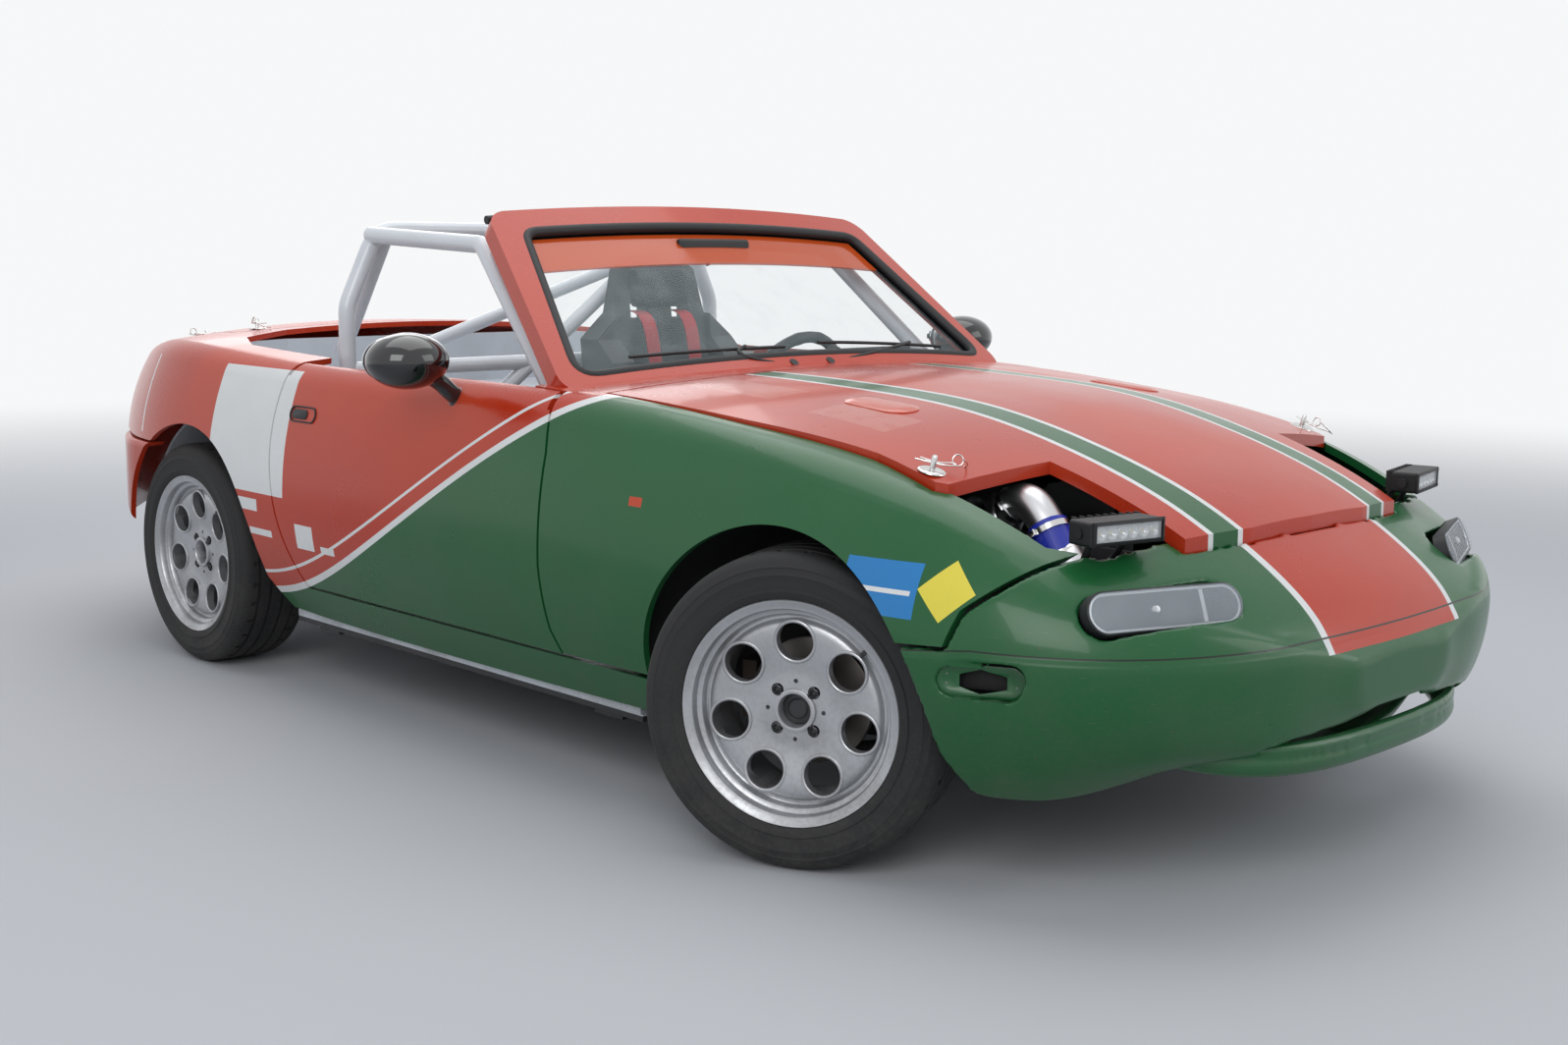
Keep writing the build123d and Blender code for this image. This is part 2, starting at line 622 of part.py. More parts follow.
# Driver's bucket seat: a swept shell with wings, and slots for the straps
seat_width = 500.0
seat_wall = 12.0
seat_side = [(-1130, 240), (-1130, 360), (-1250, 400), (-1500, 420), (-1560, 560), (-1600, 800), (-1665, 860),
             (-1690, 1060), (-1745, 1085), (-1745, 900), (-1700, 500), (-1660, 250), (-1600, 235)]
seat_hollow = [(-1100, 262), (-1180, 262), (-1560, 250), (-1610, 290), (-1640, 500), (-1690, 900), (-1715, 1100),
               (-1400, 1200), (-1000, 1000), (-1000, 262)]
with BuildPart() as seat:
    with BuildSketch(Plane.XZ.offset(-seat_centre_y)):
        Polygon(*[(fore(x), z) for x, z in seat_side], align=None)
    extrude(amount=seat_width / 2, both=True)
    with BuildSketch(Plane.YZ.offset(fore(-1900))):
        with BuildLine():
            Polyline((seat_centre_y - 200, 200), (seat_centre_y - 204, 420), (seat_centre_y - 250, 640),
                     (seat_centre_y - 248, 860), (seat_centre_y - 165, 930), (seat_centre_y - 140, 1050),
                     (seat_centre_y - 90, 1090), (seat_centre_y + 90, 1090), (seat_centre_y + 140, 1050),
                     (seat_centre_y + 165, 930), (seat_centre_y + 248, 860), (seat_centre_y + 250, 640),
                     (seat_centre_y + 204, 420), (seat_centre_y + 200, 200), close=True)
        make_face()
    extrude(amount=1000, mode=Mode.INTERSECT)
    with BuildSketch(Plane.XZ.offset(-seat_centre_y)):
        Polygon(*[(fore(x), z) for x, z in seat_hollow], align=None)
    extrude(amount=seat_width / 2 - 80, both=True, mode=Mode.SUBTRACT)
    for s in (-1, 1):
        add(box_between((-1800, seat_centre_y + s * 75 - 32, 915), (-1600, seat_centre_y + s * 75 + 32, 955)),
            mode=Mode.SUBTRACT)
    for s in (-1, 1):
        add(box_between((-1570, seat_centre_y + s * 174 - 14, floor_top + 40 + seat_gap),
                        (-1180, seat_centre_y + s * 174 + 14, 266)))
save(seat.part, "seat")

# Harness: two shoulder straps down to the buckle and a lap strap
strap_width = 48.0
strap_thick = 5.0
strap_line = [(-1640, 935), (-1662, 900), (-1622, 560), (-1560, 420), (-1520, 380)]
with BuildPart() as harness:
    for s in (-1, 1):
        with BuildSketch(Plane.XZ.offset(-seat_centre_y - s * 75)):
            with BuildLine():
                Polyline(*[(fore(x) + 5.3, z) for x, z in strap_line[1:4]])
                offset(amount=strap_thick / 2 + 2, side=Side.BOTH)
            make_face()
        extrude(amount=strap_width / 2, both=True)
    add(box_between((-1556, seat_centre_y - 165, 405), (-1546, seat_centre_y + 165, 440)))
save(harness.part, "harness")

# Dashboard with the hood over the driver's dials
with BuildPart() as dashboard:
    with BuildSketch(Plane.XZ):
        with BuildLine():
            Polyline((fore(-815), 560), (fore(-815), 800), (fore(-860), 822), (fore(-960), 815), (fore(-1010), 770),
                     (fore(-985), 640), (fore(-930), 560), close=True)
        make_face()
    extrude(amount=606, both=True)
    with BuildSketch(Plane.XZ.offset(-seat_centre_y)):
        Polygon((fore(-850), 800), (fore(-900), 868), (fore(-985), 862), (fore(-1020), 790), (fore(-960), 760),
                align=None)
    extrude(amount=170, both=True)
save(dashboard.part, "dashboard")

# Steering wheel on its column
wheel_tilt = 24.0
rim_centre = (-1165, seat_centre_y, 735)
column_dir = Vector(cos(radians(wheel_tilt)), 0, -sin(radians(wheel_tilt)))
rim_plane = Plane(origin=(fore(rim_centre[0]), rim_centre[1], rim_centre[2]), x_dir=(0, 1, 0), z_dir=-column_dir)
with BuildPart() as steering_wheel:
    with BuildSketch(Plane(origin=rim_plane.origin + Vector(0, 165, 0), x_dir=(0, 1, 0), z_dir=rim_plane.y_dir)):
        Circle(15)
    revolve(axis=Axis(rim_plane.origin, rim_plane.z_dir), revolution_arc=360)
    with BuildSketch(rim_plane.offset(-42)):
        Circle(38)
    extrude(amount=38)
    with BuildSketch(rim_plane.offset(-14)):
        with PolarLocations(92, 3, start_angle=90, angular_range=360):
            Rectangle(150, 26)
    extrude(amount=8)
    with BuildSketch(rim_plane.offset(-42)):
        Circle(20)
    extrude(amount=-137)
save(steering_wheel.part, "steering_wheel")

# Engine: one plain block with its cam cover
with BuildPart() as engine:
    add(box_between((-440, -150, 260), (70, 150, 560)))
    add(box_between((-430, -120, 560), (40, 120, 655)))
    fillet(engine.edges().filter_by(Axis.X).group_by(Axis.Z)[-1], 14)
    add(box_between((-380, -110, 200), (20, 110, 262)))
save(engine.part, "engine_block")

# Gearbox, propeller shaft, final drive and half shafts
with BuildPart() as drivetrain:
    with BuildSketch(Plane.YZ.offset(fore(-1080))):
        with Locations((0, 290)):
            Circle(70)
    with BuildSketch(Plane.YZ.offset(fore(-440) - seat_gap)):
        with Locations((0, 300)):
            Circle(95)
    loft()
    add(box_between((-2370, -95, 196), (-2090, 95, 322)))
    fillet(drivetrain.edges().filter_by(Axis.Y), 18)
    add(rod((-2100, 0, 290), (-1060, 0, 290), 32))
    add(rod((-2265, -560, 293), (-2265, 560, 293), 16))
save(drivetrain.part, "drivetrain")

# Faces of the hubs that the spindles meet
hub_back_rear = rear_track / 2 - 24
hub_back_front = front_track / 2 - 24

# Front and rear subframes with arms, springs and the fixed rear uprights
with BuildPart() as front_subframe:
    add(box_between((-70, -380, 150), (50, 380, 188)))
    add(box_between((-60, -100, 180), (10, 100, 200 - seat_gap)))
    for s in (1, -1):
        for arm_x in (-150, 140):
            add(rod((arm_x, s * 330, 178), (0, s * (kingpin_y - 37), 182), 14))
            add(rod((arm_x * 0.6, s * 395, 455), (0, s * (kingpin_y - 37), 436), 11))
        add(box_between((-464 + seat_gap - axle_station, min(s * 318, s * 350), 160), (150, max(s * 318, s * 350), 196)))
        add(rod((-4, s * 520, 195), (-13.2, s * 444.9, 655), 34))
        add(box_between((-110, min(s * 384, s * 394), 440), (100, max(s * 384, s * 394), 470)))
save(front_subframe.part.translate((axle_station, 0, 0)), "front_subframe")

with BuildPart() as rear_subframe:
    add(box_between((-2330, -330, 150), (-2200, 330, 196 - seat_gap)))
    for s in (1, -1):
        for arm_x in (-2400, -2130):
            add(rod((arm_x, s * 290, 178), (-2265, s * 600, 196), 15))
        add(box_between((-2420, min(s * 280, s * 320), 160), (-2110, max(s * 280, s * 320), 196)))
        add(rod((-2300, s * 562, 190), (-2300, s * 562, 643.5), 26))
        add(box_between((-2300, min(s * 584, s * 612), 180), (-2230, max(s * 584, s * 612), 440)))
        add(rod((-2265, s * 584, 293), (-2265, s * (hub_back_rear - seat_gap), 293), 34))
        add(rod((-2265, s * 584, 293), (-2265, s * (hub_back_rear + 44), 293), hub_hole_radius - seat_gap))
        add(rod((-2265, s * 600, 425), (-2250, s * 540, 432), 11))
    with BuildSketch(Plane.XZ.offset(-610)):
        with Locations((fore(-2265), 293)):
            Circle(20)
    extrude(amount=1220, mode=Mode.SUBTRACT)
save(rear_subframe.part, "rear_subframe")

# Front knuckles with spindle and caliper, turned with the wheels
for name, s in (("left", 1), ("right", -1)):
    with BuildPart() as knuckle:
        add(box_between((-32, min(s * 616, s * 650), 205), (32, max(s * 616, s * 650), 418)))
        add(rod((0, s * 620, 293), (0, s * (hub_back_front + 44), 293), hub_hole_radius - seat_gap))
        add(box_between((-150, min(s * 622, s * 676), 240), (-122, max(s * 622, s * 676), 350)))
        add(box_between((-150, min(s * 622, s * 636), 240), (-20, max(s * 622, s * 636), 350)))
    kingpin = Axis((front_axle_x, s * kingpin_y, 0), (0, 0, 1))
    with BuildPart() as turned:
        add(knuckle.part.rotate(kingpin, steer_rest).translate((axle_station, 0, 0)))
    save(turned.part, "front_knuckle_" + name)

# Exhaust: pipe under the floor and the rear silencer
with BuildPart() as exhaust:
    add(box_between((-2860, -260, 190), (-2660, 260, 316)))
    fillet(exhaust.edges().filter_by(Axis.Y), 30)
    add(bent_tube([(-220, -176, 330), (-300, -190, 190), (-440, -190, 134), (-1760, -190, 134), (-2050, -200, 120),
                   (-2520, -200, 130), (-2700, -120, 240)], 24, 60))
    add(rod((-2850, -180, 250), (-3150, -180, 250), 30))
    add(rod((-1000, -190, 140), (-1000, -190, 170 - seat_gap), 8))
    add(rod((-2760, 100, 300), (-2760, 100, 330 - seat_gap), 10))
save(exhaust.part, "exhaust")

# Intercooler behind the mouth, and the pipe that leads up past the right pit
with BuildPart() as intercooler:
    add(box_between((476, -250, 262), (510, 250, 366)))
    for s in (1, -1):
        add(box_between((474, min(s * 250, s * 320), 264), (514, max(s * 250, s * 320), 364)))
    with BuildSketch(Plane.YZ.offset(fore(504))):
        with Locations((0, 314)):
            with GridLocations(0, 26, 1, 4):
                Rectangle(480, 14)
    extrude(amount=20, mode=Mode.SUBTRACT)
    for s in (1, -1):
        add(rod((470 + seat_gap, s * 285, 280), (480, s * 285, 280), 8))
save(intercooler.part, "intercooler")
with BuildPart() as intake_pipe:
    add(bent_tube(intake_line, 30, 45))
save(intake_pipe.part, "intake_pipe")

# Lamps: oval turn lamps in the front cover and light bars at the pits
lamp_thick = 28.0
turn_lamp_left = pill_on(lamp_place, lamp_turn, lamp_lean, lamp_length, lamp_height, lamp_thick / 2, seat_gap)
with BuildPart() as turn_lamps:
    add(turn_lamp_left)
    mirror(turn_lamp_left, about=Plane.XZ)
save(turn_lamps.part, "turn_lamps")

bar_place = (503, 521, 657)
bar_length = 160.0
with BuildPart() as light_bars:
    for s in (1, -1):
        facing = Plane(origin=(fore(bar_place[0]) - 28, s * bar_place[1], bar_place[2]),
                       x_dir=(-sin(radians(s * 12)), cos(radians(s * 12)), 0),
                       z_dir=(cos(radians(s * 12)), sin(radians(s * 12)), 0))
        with BuildSketch(facing):
            RectangleRounded(bar_length, 42, 6)
        extrude(amount=52)
        with BuildSketch(facing.offset(44)):
            RectangleRounded(bar_length - 14, 30, 4)
        extrude(amount=10, mode=Mode.SUBTRACT)
        add(rod((448, s * (inner_wing_y + 14 + seat_gap), 588), (448, s * 562, 588), 8))
        for foot_y, reach in ((468, 42), (552, 26)):
            add(rod((448, s * foot_y, 588), (448 + reach, s * foot_y, 645), 6))
save(light_bars.part, "light_bars")

# Door mirrors on their stalks
mirror_centre = (-1050, -905, 872)
with BuildPart() as mirror_right:
    with BuildSketch(Plane.YZ.offset(fore(-1120))) as back_outline:
        with Locations((mirror_centre[1], mirror_centre[2])):
            Ellipse(90, 58)
    with BuildSketch(Plane.YZ.offset(fore(-1040))):
        with Locations((mirror_centre[1], mirror_centre[2])):
            Ellipse(88, 56)
    with BuildSketch(Plane.YZ.offset(fore(-985))):
        with Locations((mirror_centre[1] + 6, mirror_centre[2] - 4)):
            Ellipse(60, 36)
    loft()
    fillet(mirror_right.edges().group_by(Axis.X)[-1], 14)
    add(rod((-1060, -842, 850), (-1060, -760, 774), 24))
    add(body_form(-seat_gap, 0, body_sections[5:11]), mode=Mode.SUBTRACT)
save(mirror_right.part, "door_mirror_right")
with BuildPart() as mirror_left:
    mirror(mirror_right.part, about=Plane.XZ)
save(mirror_left.part, "door_mirror_left")

# Wheels: rim with round holes and brake disc, and tyre
rim_profile = [(hub_hole_radius, 62), (62, 62), (70, 56), (160, 66), (176, 74), (184, 92), (rim_radius, 96),
               (rim_radius, 88), (rim_seat_radius, 80), (rim_seat_radius, 40), (172, 20), (172, -30),
               (rim_seat_radius, -55), (rim_seat_radius, -80), (rim_radius, -88), (rim_radius, -96), (184, -92),
               (184, -58), (166, -36), (166, 30), (160, 46), (70, 34), (hub_hole_radius, 34)]
tyre_profile = [(rim_seat_radius + seat_gap, 79.7), (rim_radius + 1.5, 87.7), (rim_radius + 1.5, 97), (236, 101), (262, 100),
                (282, 93), (tyre_radius, 76), (tyre_radius, -76), (282, -93), (262, -100), (236, -101),
                (rim_radius + 1.5, -97), (rim_radius + 1.5, -87.7), (rim_seat_radius + seat_gap, -79.7),
                (rim_seat_radius + seat_gap, -60), (268, -70), (268, 70), (rim_seat_radius + seat_gap, 60)]


def around_axle(profile, plane):
    """Spin a (radius, outboard) outline round the wheel's axle."""
    with BuildPart() as ring:
        with BuildSketch(plane):
            Polygon(*profile, align=None)
        revolve(axis=Axis(plane.origin, plane.y_dir))
    return ring.part


def make_wheel(centre_x, centre_y, out):
    """Make one rim and tyre, its face pointing outboard."""
    base = Plane(origin=(centre_x, centre_y, tyre_radius), x_dir=(0, 0, 1), z_dir=(-out, 0, 0))
    face = Plane(origin=base.origin, x_dir=(1, 0, 0), z_dir=(0, out, 0))
    with BuildPart() as rim:
        add(around_axle(rim_profile, base))
        with BuildSketch(face.offset(30)):
            with PolarLocations(round_hole_circle, round_hole_count, start_angle=90):
                Circle(round_hole_radius)
        extrude(amount=60, mode=Mode.SUBTRACT)
        with BuildSketch(face.offset(46)):
            with PolarLocations(lug_circle, lug_count, start_angle=45):
                Circle(11)
        extrude(amount=30, mode=Mode.SUBTRACT)
        with BuildSketch(face.offset(-42)):
            Circle(disc_radius)
            Circle(50, mode=Mode.SUBTRACT)
        extrude(amount=20)
        with BuildSketch(face.offset(-24)):
            Circle(66)
            Circle(hub_hole_radius, mode=Mode.SUBTRACT)
        extrude(amount=60)
    with BuildPart() as tyre:
        add(around_axle(tyre_profile, base))
    return rim.part, tyre.part


for name, centre_x, centre_y in (("front_left", front_axle_x, front_track / 2),
                                 ("front_right", front_axle_x, -front_track / 2),
                                 ("rear_left", rear_axle_x, rear_track / 2),
                                 ("rear_right", rear_axle_x, -rear_track / 2)):
    rim_part, tyre_part = make_wheel(centre_x, centre_y, 1 if centre_y > 0 else -1)
    if name.startswith("front"):
        kingpin = Axis((front_axle_x, kingpin_y if centre_y > 0 else -kingpin_y, 0), (0, 0, 1))
        rim_part = rim_part.rotate(kingpin, steer_rest).translate((axle_station, 0, 0))
        tyre_part = tyre_part.rotate(kingpin, steer_rest).translate((axle_station, 0, 0))
    save(rim_part, "rim_" + name)
    save(tyre_part, "tyre_" + name)
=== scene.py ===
import bpy
import bmesh
from math import sin, cos, tan, pi, radians, sqrt, atan2
from mathutils import Vector, Matrix


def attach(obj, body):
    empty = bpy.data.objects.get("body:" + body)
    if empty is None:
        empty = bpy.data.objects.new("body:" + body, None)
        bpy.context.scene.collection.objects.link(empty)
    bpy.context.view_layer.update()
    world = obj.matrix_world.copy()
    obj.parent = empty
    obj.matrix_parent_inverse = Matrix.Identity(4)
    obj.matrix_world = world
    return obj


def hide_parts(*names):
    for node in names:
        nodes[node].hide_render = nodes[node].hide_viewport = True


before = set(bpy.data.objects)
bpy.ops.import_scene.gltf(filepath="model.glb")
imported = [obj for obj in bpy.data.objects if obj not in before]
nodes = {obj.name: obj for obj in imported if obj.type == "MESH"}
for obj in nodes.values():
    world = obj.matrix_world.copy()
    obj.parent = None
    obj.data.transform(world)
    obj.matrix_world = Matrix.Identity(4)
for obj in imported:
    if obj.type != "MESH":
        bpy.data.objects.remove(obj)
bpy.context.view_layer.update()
print("frame loaded")

axleX = 1.2085  # front axle; places below are often given forward of it


def atX(station):
    return axleX + station


# Camera at the photograph's place
cameraValues = {"place": (3.4825, -3.045, 1.126), "yaw": 135.56, "pitch": -8.67, "roll": 0.61, "lens": 42.0}


def makeCamera(values):
    yaw, pitch, roll = (radians(values[key]) for key in ("yaw", "pitch", "roll"))
    forward = Vector((cos(pitch) * cos(yaw), cos(pitch) * sin(yaw), sin(pitch)))
    right = forward.cross(Vector((0, 0, 1))).normalized()
    up = right.cross(forward)
    turnedRight = right * cos(roll) + up * sin(roll)
    turnedUp = up * cos(roll) - right * sin(roll)
    data = bpy.data.cameras.new("photoCamera")
    data.sensor_width = 36
    data.lens = values["lens"]
    data.clip_start = 0.05
    camera = bpy.data.objects.new("photoCamera", data)
    bpy.context.scene.collection.objects.link(camera)
    turn = Matrix((turnedRight, turnedUp, -forward)).transposed().to_4x4()
    camera.matrix_world = Matrix.Translation(values["place"]) @ turn
    bpy.context.scene.camera = camera


makeCamera(cameraValues)

# Studio: pale floor, pale world behind, soft lamps
studioValues = {"floor": (0.60, 0.61, 0.63), "background": (0.93, 0.935, 0.945), "worldLight": 0.42,
                "skyTint": (0.80, 0.86, 0.95, 1), "fadeFrom": 3.2, "fadeTo": 9.5,
                "lamps": (("keyLamp", (4.5, -5.5, 4.2), (0.4, 0, 0.5), 4.0, 165),
                          ("fillLamp", (6.0, 3.5, 3.2), (0.6, 0, 0.5), 3.5, 60),
                          ("topLamp", (-0.4, 0.5, 5.2), (-0.2, 0, 0.5), 5.0, 115),
                          ("rearLamp", (-5.5, 3.0, 3.5), (-0.5, 0, 0.6), 3.5, 60))}


def makeStudio(values):
    world = bpy.data.worlds.new("studioWorld")
    bpy.context.scene.world = world
    world.use_nodes = True
    tree = world.node_tree
    tree.nodes.clear()
    out = tree.nodes.new("ShaderNodeOutputWorld")
    light = tree.nodes.new("ShaderNodeBackground")
    light.inputs["Color"].default_value = values["skyTint"]
    light.inputs["Strength"].default_value = values["worldLight"]
    seen = tree.nodes.new("ShaderNodeBackground")
    seen.inputs["Color"].default_value = (*values["background"], 1)
    path = tree.nodes.new("ShaderNodeLightPath")
    mix = tree.nodes.new("ShaderNodeMixShader")
    straight = path.outputs["Is Camera Ray"]
    for ray in ("Is Glossy Ray", "Is Transmission Ray"):
        adder = tree.nodes.new("ShaderNodeMath")
        adder.operation = "MAXIMUM"
        tree.links.new(straight, adder.inputs[0])
        tree.links.new(path.outputs[ray], adder.inputs[1])
        straight = adder.outputs[0]
    tree.links.new(straight, mix.inputs[0])
    tree.links.new(light.outputs[0], mix.inputs[1])
    tree.links.new(seen.outputs[0], mix.inputs[2])
    tree.links.new(mix.outputs[0], out.inputs["Surface"])
    bpy.ops.object.select_all(action="DESELECT")
    bpy.ops.mesh.primitive_plane_add(size=60, location=(0, 0, -0.001))
    floor = bpy.context.object
    floor.name = "studioFloor"
    material = bpy.data.materials.new("studioFloor")
    material.use_nodes = True
    shader = material.node_tree.nodes["Principled BSDF"]
    shader.inputs["Base Color"].default_value = (*values["floor"], 1)
    shader.inputs["Roughness"].default_value = 0.85
    tree = material.node_tree
    place = tree.nodes.new("ShaderNodeTexCoord").outputs["Object"]
    reach = tree.nodes.new("ShaderNodeVectorMath")
    reach.operation = "LENGTH"
    tree.links.new(place, reach.inputs[0])
    fade = tree.nodes.new("ShaderNodeMapRange")
    fade.interpolation_type = "SMOOTHSTEP"
    fade.inputs["From Min"].default_value = values["fadeFrom"]
    fade.inputs["From Max"].default_value = values["fadeTo"]
    tree.links.new(reach.outputs["Value"], fade.inputs["Value"])
    bright = tree.nodes.new("ShaderNodeEmission")
    bright.inputs["Color"].default_value = (*values["background"], 1)
    mixer = tree.nodes.new("ShaderNodeMixShader")
    tree.links.new(fade.outputs["Result"], mixer.inputs[0])
    tree.links.new(shader.outputs[0], mixer.inputs[1])
    tree.links.new(bright.outputs[0], mixer.inputs[2])
    tree.links.new(mixer.outputs[0], tree.nodes["Material Output"].inputs["Surface"])
    floor.data.materials.append(material)
    for name, place, aim, size, power in values["lamps"]:
        lamp = bpy.data.lights.new(name, "AREA")
        lamp.size = size
        lamp.energy = power
        holder = bpy.data.objects.new(name, lamp)
        bpy.context.scene.collection.objects.link(holder)
        holder.location = place
        holder.rotation_euler = (Vector(aim) - Vector(place)).to_track_quat("-Z", "Y").to_euler()


makeStudio(studioValues)
bpy.context.scene.view_settings.view_transform = "Standard"
print("camera and studio ready")


# Node helpers
def feed(tree, socket, value):
    if hasattr(value, "is_output"):
        tree.links.new(value, socket)
    else:
        socket.default_value = value


def addNode(tree, kind, **inputs):
    node = tree.nodes.new(kind)
    for key, value in inputs.items():
        feed(tree, node.inputs[key.replace("_", " ")], value)
    return node


def placeGroup(tree, group, **inputs):
    node = tree.nodes.new("ShaderNodeGroup")
    node.node_tree = group
    for key, value in inputs.items():
        feed(tree, node.inputs[key], value)
    return node


def mathNode(tree, operation, *values, clamp=False):
    node = tree.nodes.new("ShaderNodeMath")
    node.operation = operation
    node.use_clamp = clamp
    for socket, value in zip(node.inputs, values):
        feed(tree, socket, value)
    return node.outputs[0]


def mixColour(tree, factor, first, second):
    node = tree.nodes.new("ShaderNodeMix")
    node.data_type = "RGBA"
    feed(tree, node.inputs[0], factor)
    for socket, value in ((node.inputs[6], first), (node.inputs[7], second)):
        feed(tree, socket, value if hasattr(value, "is_output") else (*value, 1))
    return node.outputs[2]


def mapRange(tree, value, low, high, toLow=0.0, toHigh=1.0):
    node = addNode(tree, "ShaderNodeMapRange", Value=value, From_Min=low, From_Max=high, To_Min=toLow,
                   To_Max=toHigh)
    node.interpolation_type = "SMOOTHSTEP"
    return node.outputs["Result"]


def noiseAt(tree, place, scale, detail=2.0):
    return addNode(tree, "ShaderNodeTexNoise", Vector=place, Scale=scale, Detail=detail).outputs["Fac"]


def newGroup(name, inputs, outputs):
    group = bpy.data.node_groups.new(name, "ShaderNodeTree")
    for label, kind, value in inputs:
        socket = group.interface.new_socket(label, in_out="INPUT", socket_type=kind)
        if value is not None:
            socket.default_value = value
    for label, kind in outputs:
        group.interface.new_socket(label, in_out="OUTPUT", socket_type=kind)
    return group, group.nodes.new("NodeGroupInput"), group.nodes.new("NodeGroupOutput")


def makeGrimeGroup():
    group, given, out = newGroup("roadGrime", (
        ("Vector", "NodeSocketVector", None), ("Height", "NodeSocketFloat", 0.45),
                                               ("Amount", "NodeSocketFloat", 0.5),
        ("Scale", "NodeSocketFloat", 9.0)), (("Dirt", "NodeSocketFloat"), ("Cloud", "NodeSocketFloat")))
    noise = noiseAt(group, given.outputs["Vector"], given.outputs["Scale"], 6)
    fine = noiseAt(group, given.outputs["Vector"], 120)
    split = addNode(group, "ShaderNodeSeparateXYZ", Vector=given.outputs["Vector"])
    low = mathNode(group, "SUBTRACT", given.outputs["Height"], split.outputs["Z"])
    low = mathNode(group, "DIVIDE", low, given.outputs["Height"])
    low = mathNode(group, "POWER", mathNode(group, "MAXIMUM", low, 0.0), 1.4)
    cloud = mapRange(group, noise, 0.35, 0.70)
    speck = mapRange(group, fine, 0.45, 0.62)
    dirt = mathNode(group, "MULTIPLY_ADD", cloud, 0.7, mathNode(group, "MULTIPLY", speck, 0.3))
    dirt = mathNode(group, "MULTIPLY", dirt, mathNode(group, "ADD", low, 0.10))
    dirt = mathNode(group, "MULTIPLY", dirt, given.outputs["Amount"], clamp=True)
    group.links.new(dirt, out.inputs["Dirt"])
    group.links.new(cloud, out.inputs["Cloud"])
    return group


def makeGrainGroup():
    group, given, out = newGroup("fineGrain", (
        ("Vector", "NodeSocketVector", None), ("Scale", "NodeSocketFloat", 400.0),
        ("Strength", "NodeSocketFloat", 0.2), ("Distance", "NodeSocketFloat", 0.0004)),
        (("Normal", "NodeSocketVector"), ("Mask", "NodeSocketFloat")))
    noise = noiseAt(group, given.outputs["Vector"], given.outputs["Scale"], 3)
    bump = addNode(group, "ShaderNodeBump", Strength=given.outputs["Strength"],
                   Distance=given.outputs["Distance"],
                   Height=noise)
    group.links.new(bump.outputs["Normal"], out.inputs["Normal"])
    group.links.new(noise, out.inputs["Mask"])
    return group


def makeChipGroup():
    group, given, out = newGroup("paintChips", (
        ("Vector", "NodeSocketVector", None), ("Scale", "NodeSocketFloat", 60.0),
                                                ("Amount", "NodeSocketFloat", 0.2)),
        (("Chips", "NodeSocketFloat"), ("Scratch", "NodeSocketFloat")))
    cells = addNode(group, "ShaderNodeTexVoronoi", Vector=given.outputs["Vector"], Scale=given.outputs["Scale"])
    spread = noiseAt(group, given.outputs["Vector"], 7, 4)
    reach = mathNode(group, "MULTIPLY", mapRange(group, spread, 0.55, 0.75), given.outputs["Amount"])
    chips = mathNode(group, "LESS_THAN", cells.outputs["Distance"], reach)
    stretch = addNode(group, "ShaderNodeMapping", Vector=given.outputs["Vector"], Scale=(3, 9, 90))
    lines = mapRange(group, noiseAt(group, stretch.outputs["Vector"], 5), 0.70, 0.74)
    scratch = mathNode(group, "MULTIPLY", lines, given.outputs["Amount"])
    group.links.new(chips, out.inputs["Chips"])
    group.links.new(scratch, out.inputs["Scratch"])
    return group


grimeGroup = makeGrimeGroup()
grainGroup = makeGrainGroup()
chipGroup = makeChipGroup()


def startMaterial(name, metallic=0.0, coat=0.0, coatRough=0.05, specular=0.5):
    material = bpy.data.materials.new(name)
    material.use_nodes = True
    tree = material.node_tree
    shader = tree.nodes["Principled BSDF"]
    for key, value in (("Metallic", metallic), ("Coat Weight", coat), ("Coat Roughness", coatRough),
                       ("IOR", 1.45),
                       ("Specular IOR Level", specular)):
        shader.inputs[key].default_value = value
    place = tree.nodes.new("ShaderNodeTexCoord").outputs["Object"]
    return material, tree, shader, place


# One finish for most pieces: base colour, cloudiness, grain and grime
def makeFinish(name, colour, rough, metallic=0.0, coat=0.0, grain=0.15, grainScale=500, grainDepth=0.0003,
               dirt=0.35, dirtHeight=0.5, dirtColour=(0.11, 0.10, 0.085), cloud=0.12, chips=0.0,
               chipColour=(0.25, 0.25, 0.26), darkBelow=0.0):
    material, tree, shader, place = startMaterial(name, metallic, coat)
    grime = placeGroup(tree, grimeGroup, Vector=place, Height=dirtHeight, Amount=dirt)
    shade = mixColour(tree, mathNode(tree, "MULTIPLY", grime.outputs["Cloud"], cloud), colour,
                      tuple(c * 0.6 for c in colour))
    if chips:
        flaw = placeGroup(tree, chipGroup, Vector=place, Amount=chips)
        shade = mixColour(tree, flaw.outputs["Chips"], shade, chipColour)
    shade = mixColour(tree, grime.outputs["Dirt"], shade, dirtColour)
    if darkBelow:
        height = addNode(tree, "ShaderNodeSeparateXYZ", Vector=place).outputs["Z"]
        shade = mixColour(tree, mathNode(tree, "LESS_THAN", height, darkBelow), shade, (0.014, 0.014, 0.016))
    tree.links.new(shade, shader.inputs["Base Color"])
    texture = placeGroup(tree, grainGroup, Vector=place, Scale=grainScale, Strength=grain, Distance=grainDepth)
    tree.links.new(texture.outputs["Normal"], shader.inputs["Normal"])
    ground = mathNode(tree, "MULTIPLY_ADD", texture.outputs["Mask"], 0.12, rough - 0.06)
    ground = mathNode(tree, "MULTIPLY_ADD", grime.outputs["Dirt"], 0.4, ground, clamp=True)
    tree.links.new(ground, shader.inputs["Roughness"])
    return material


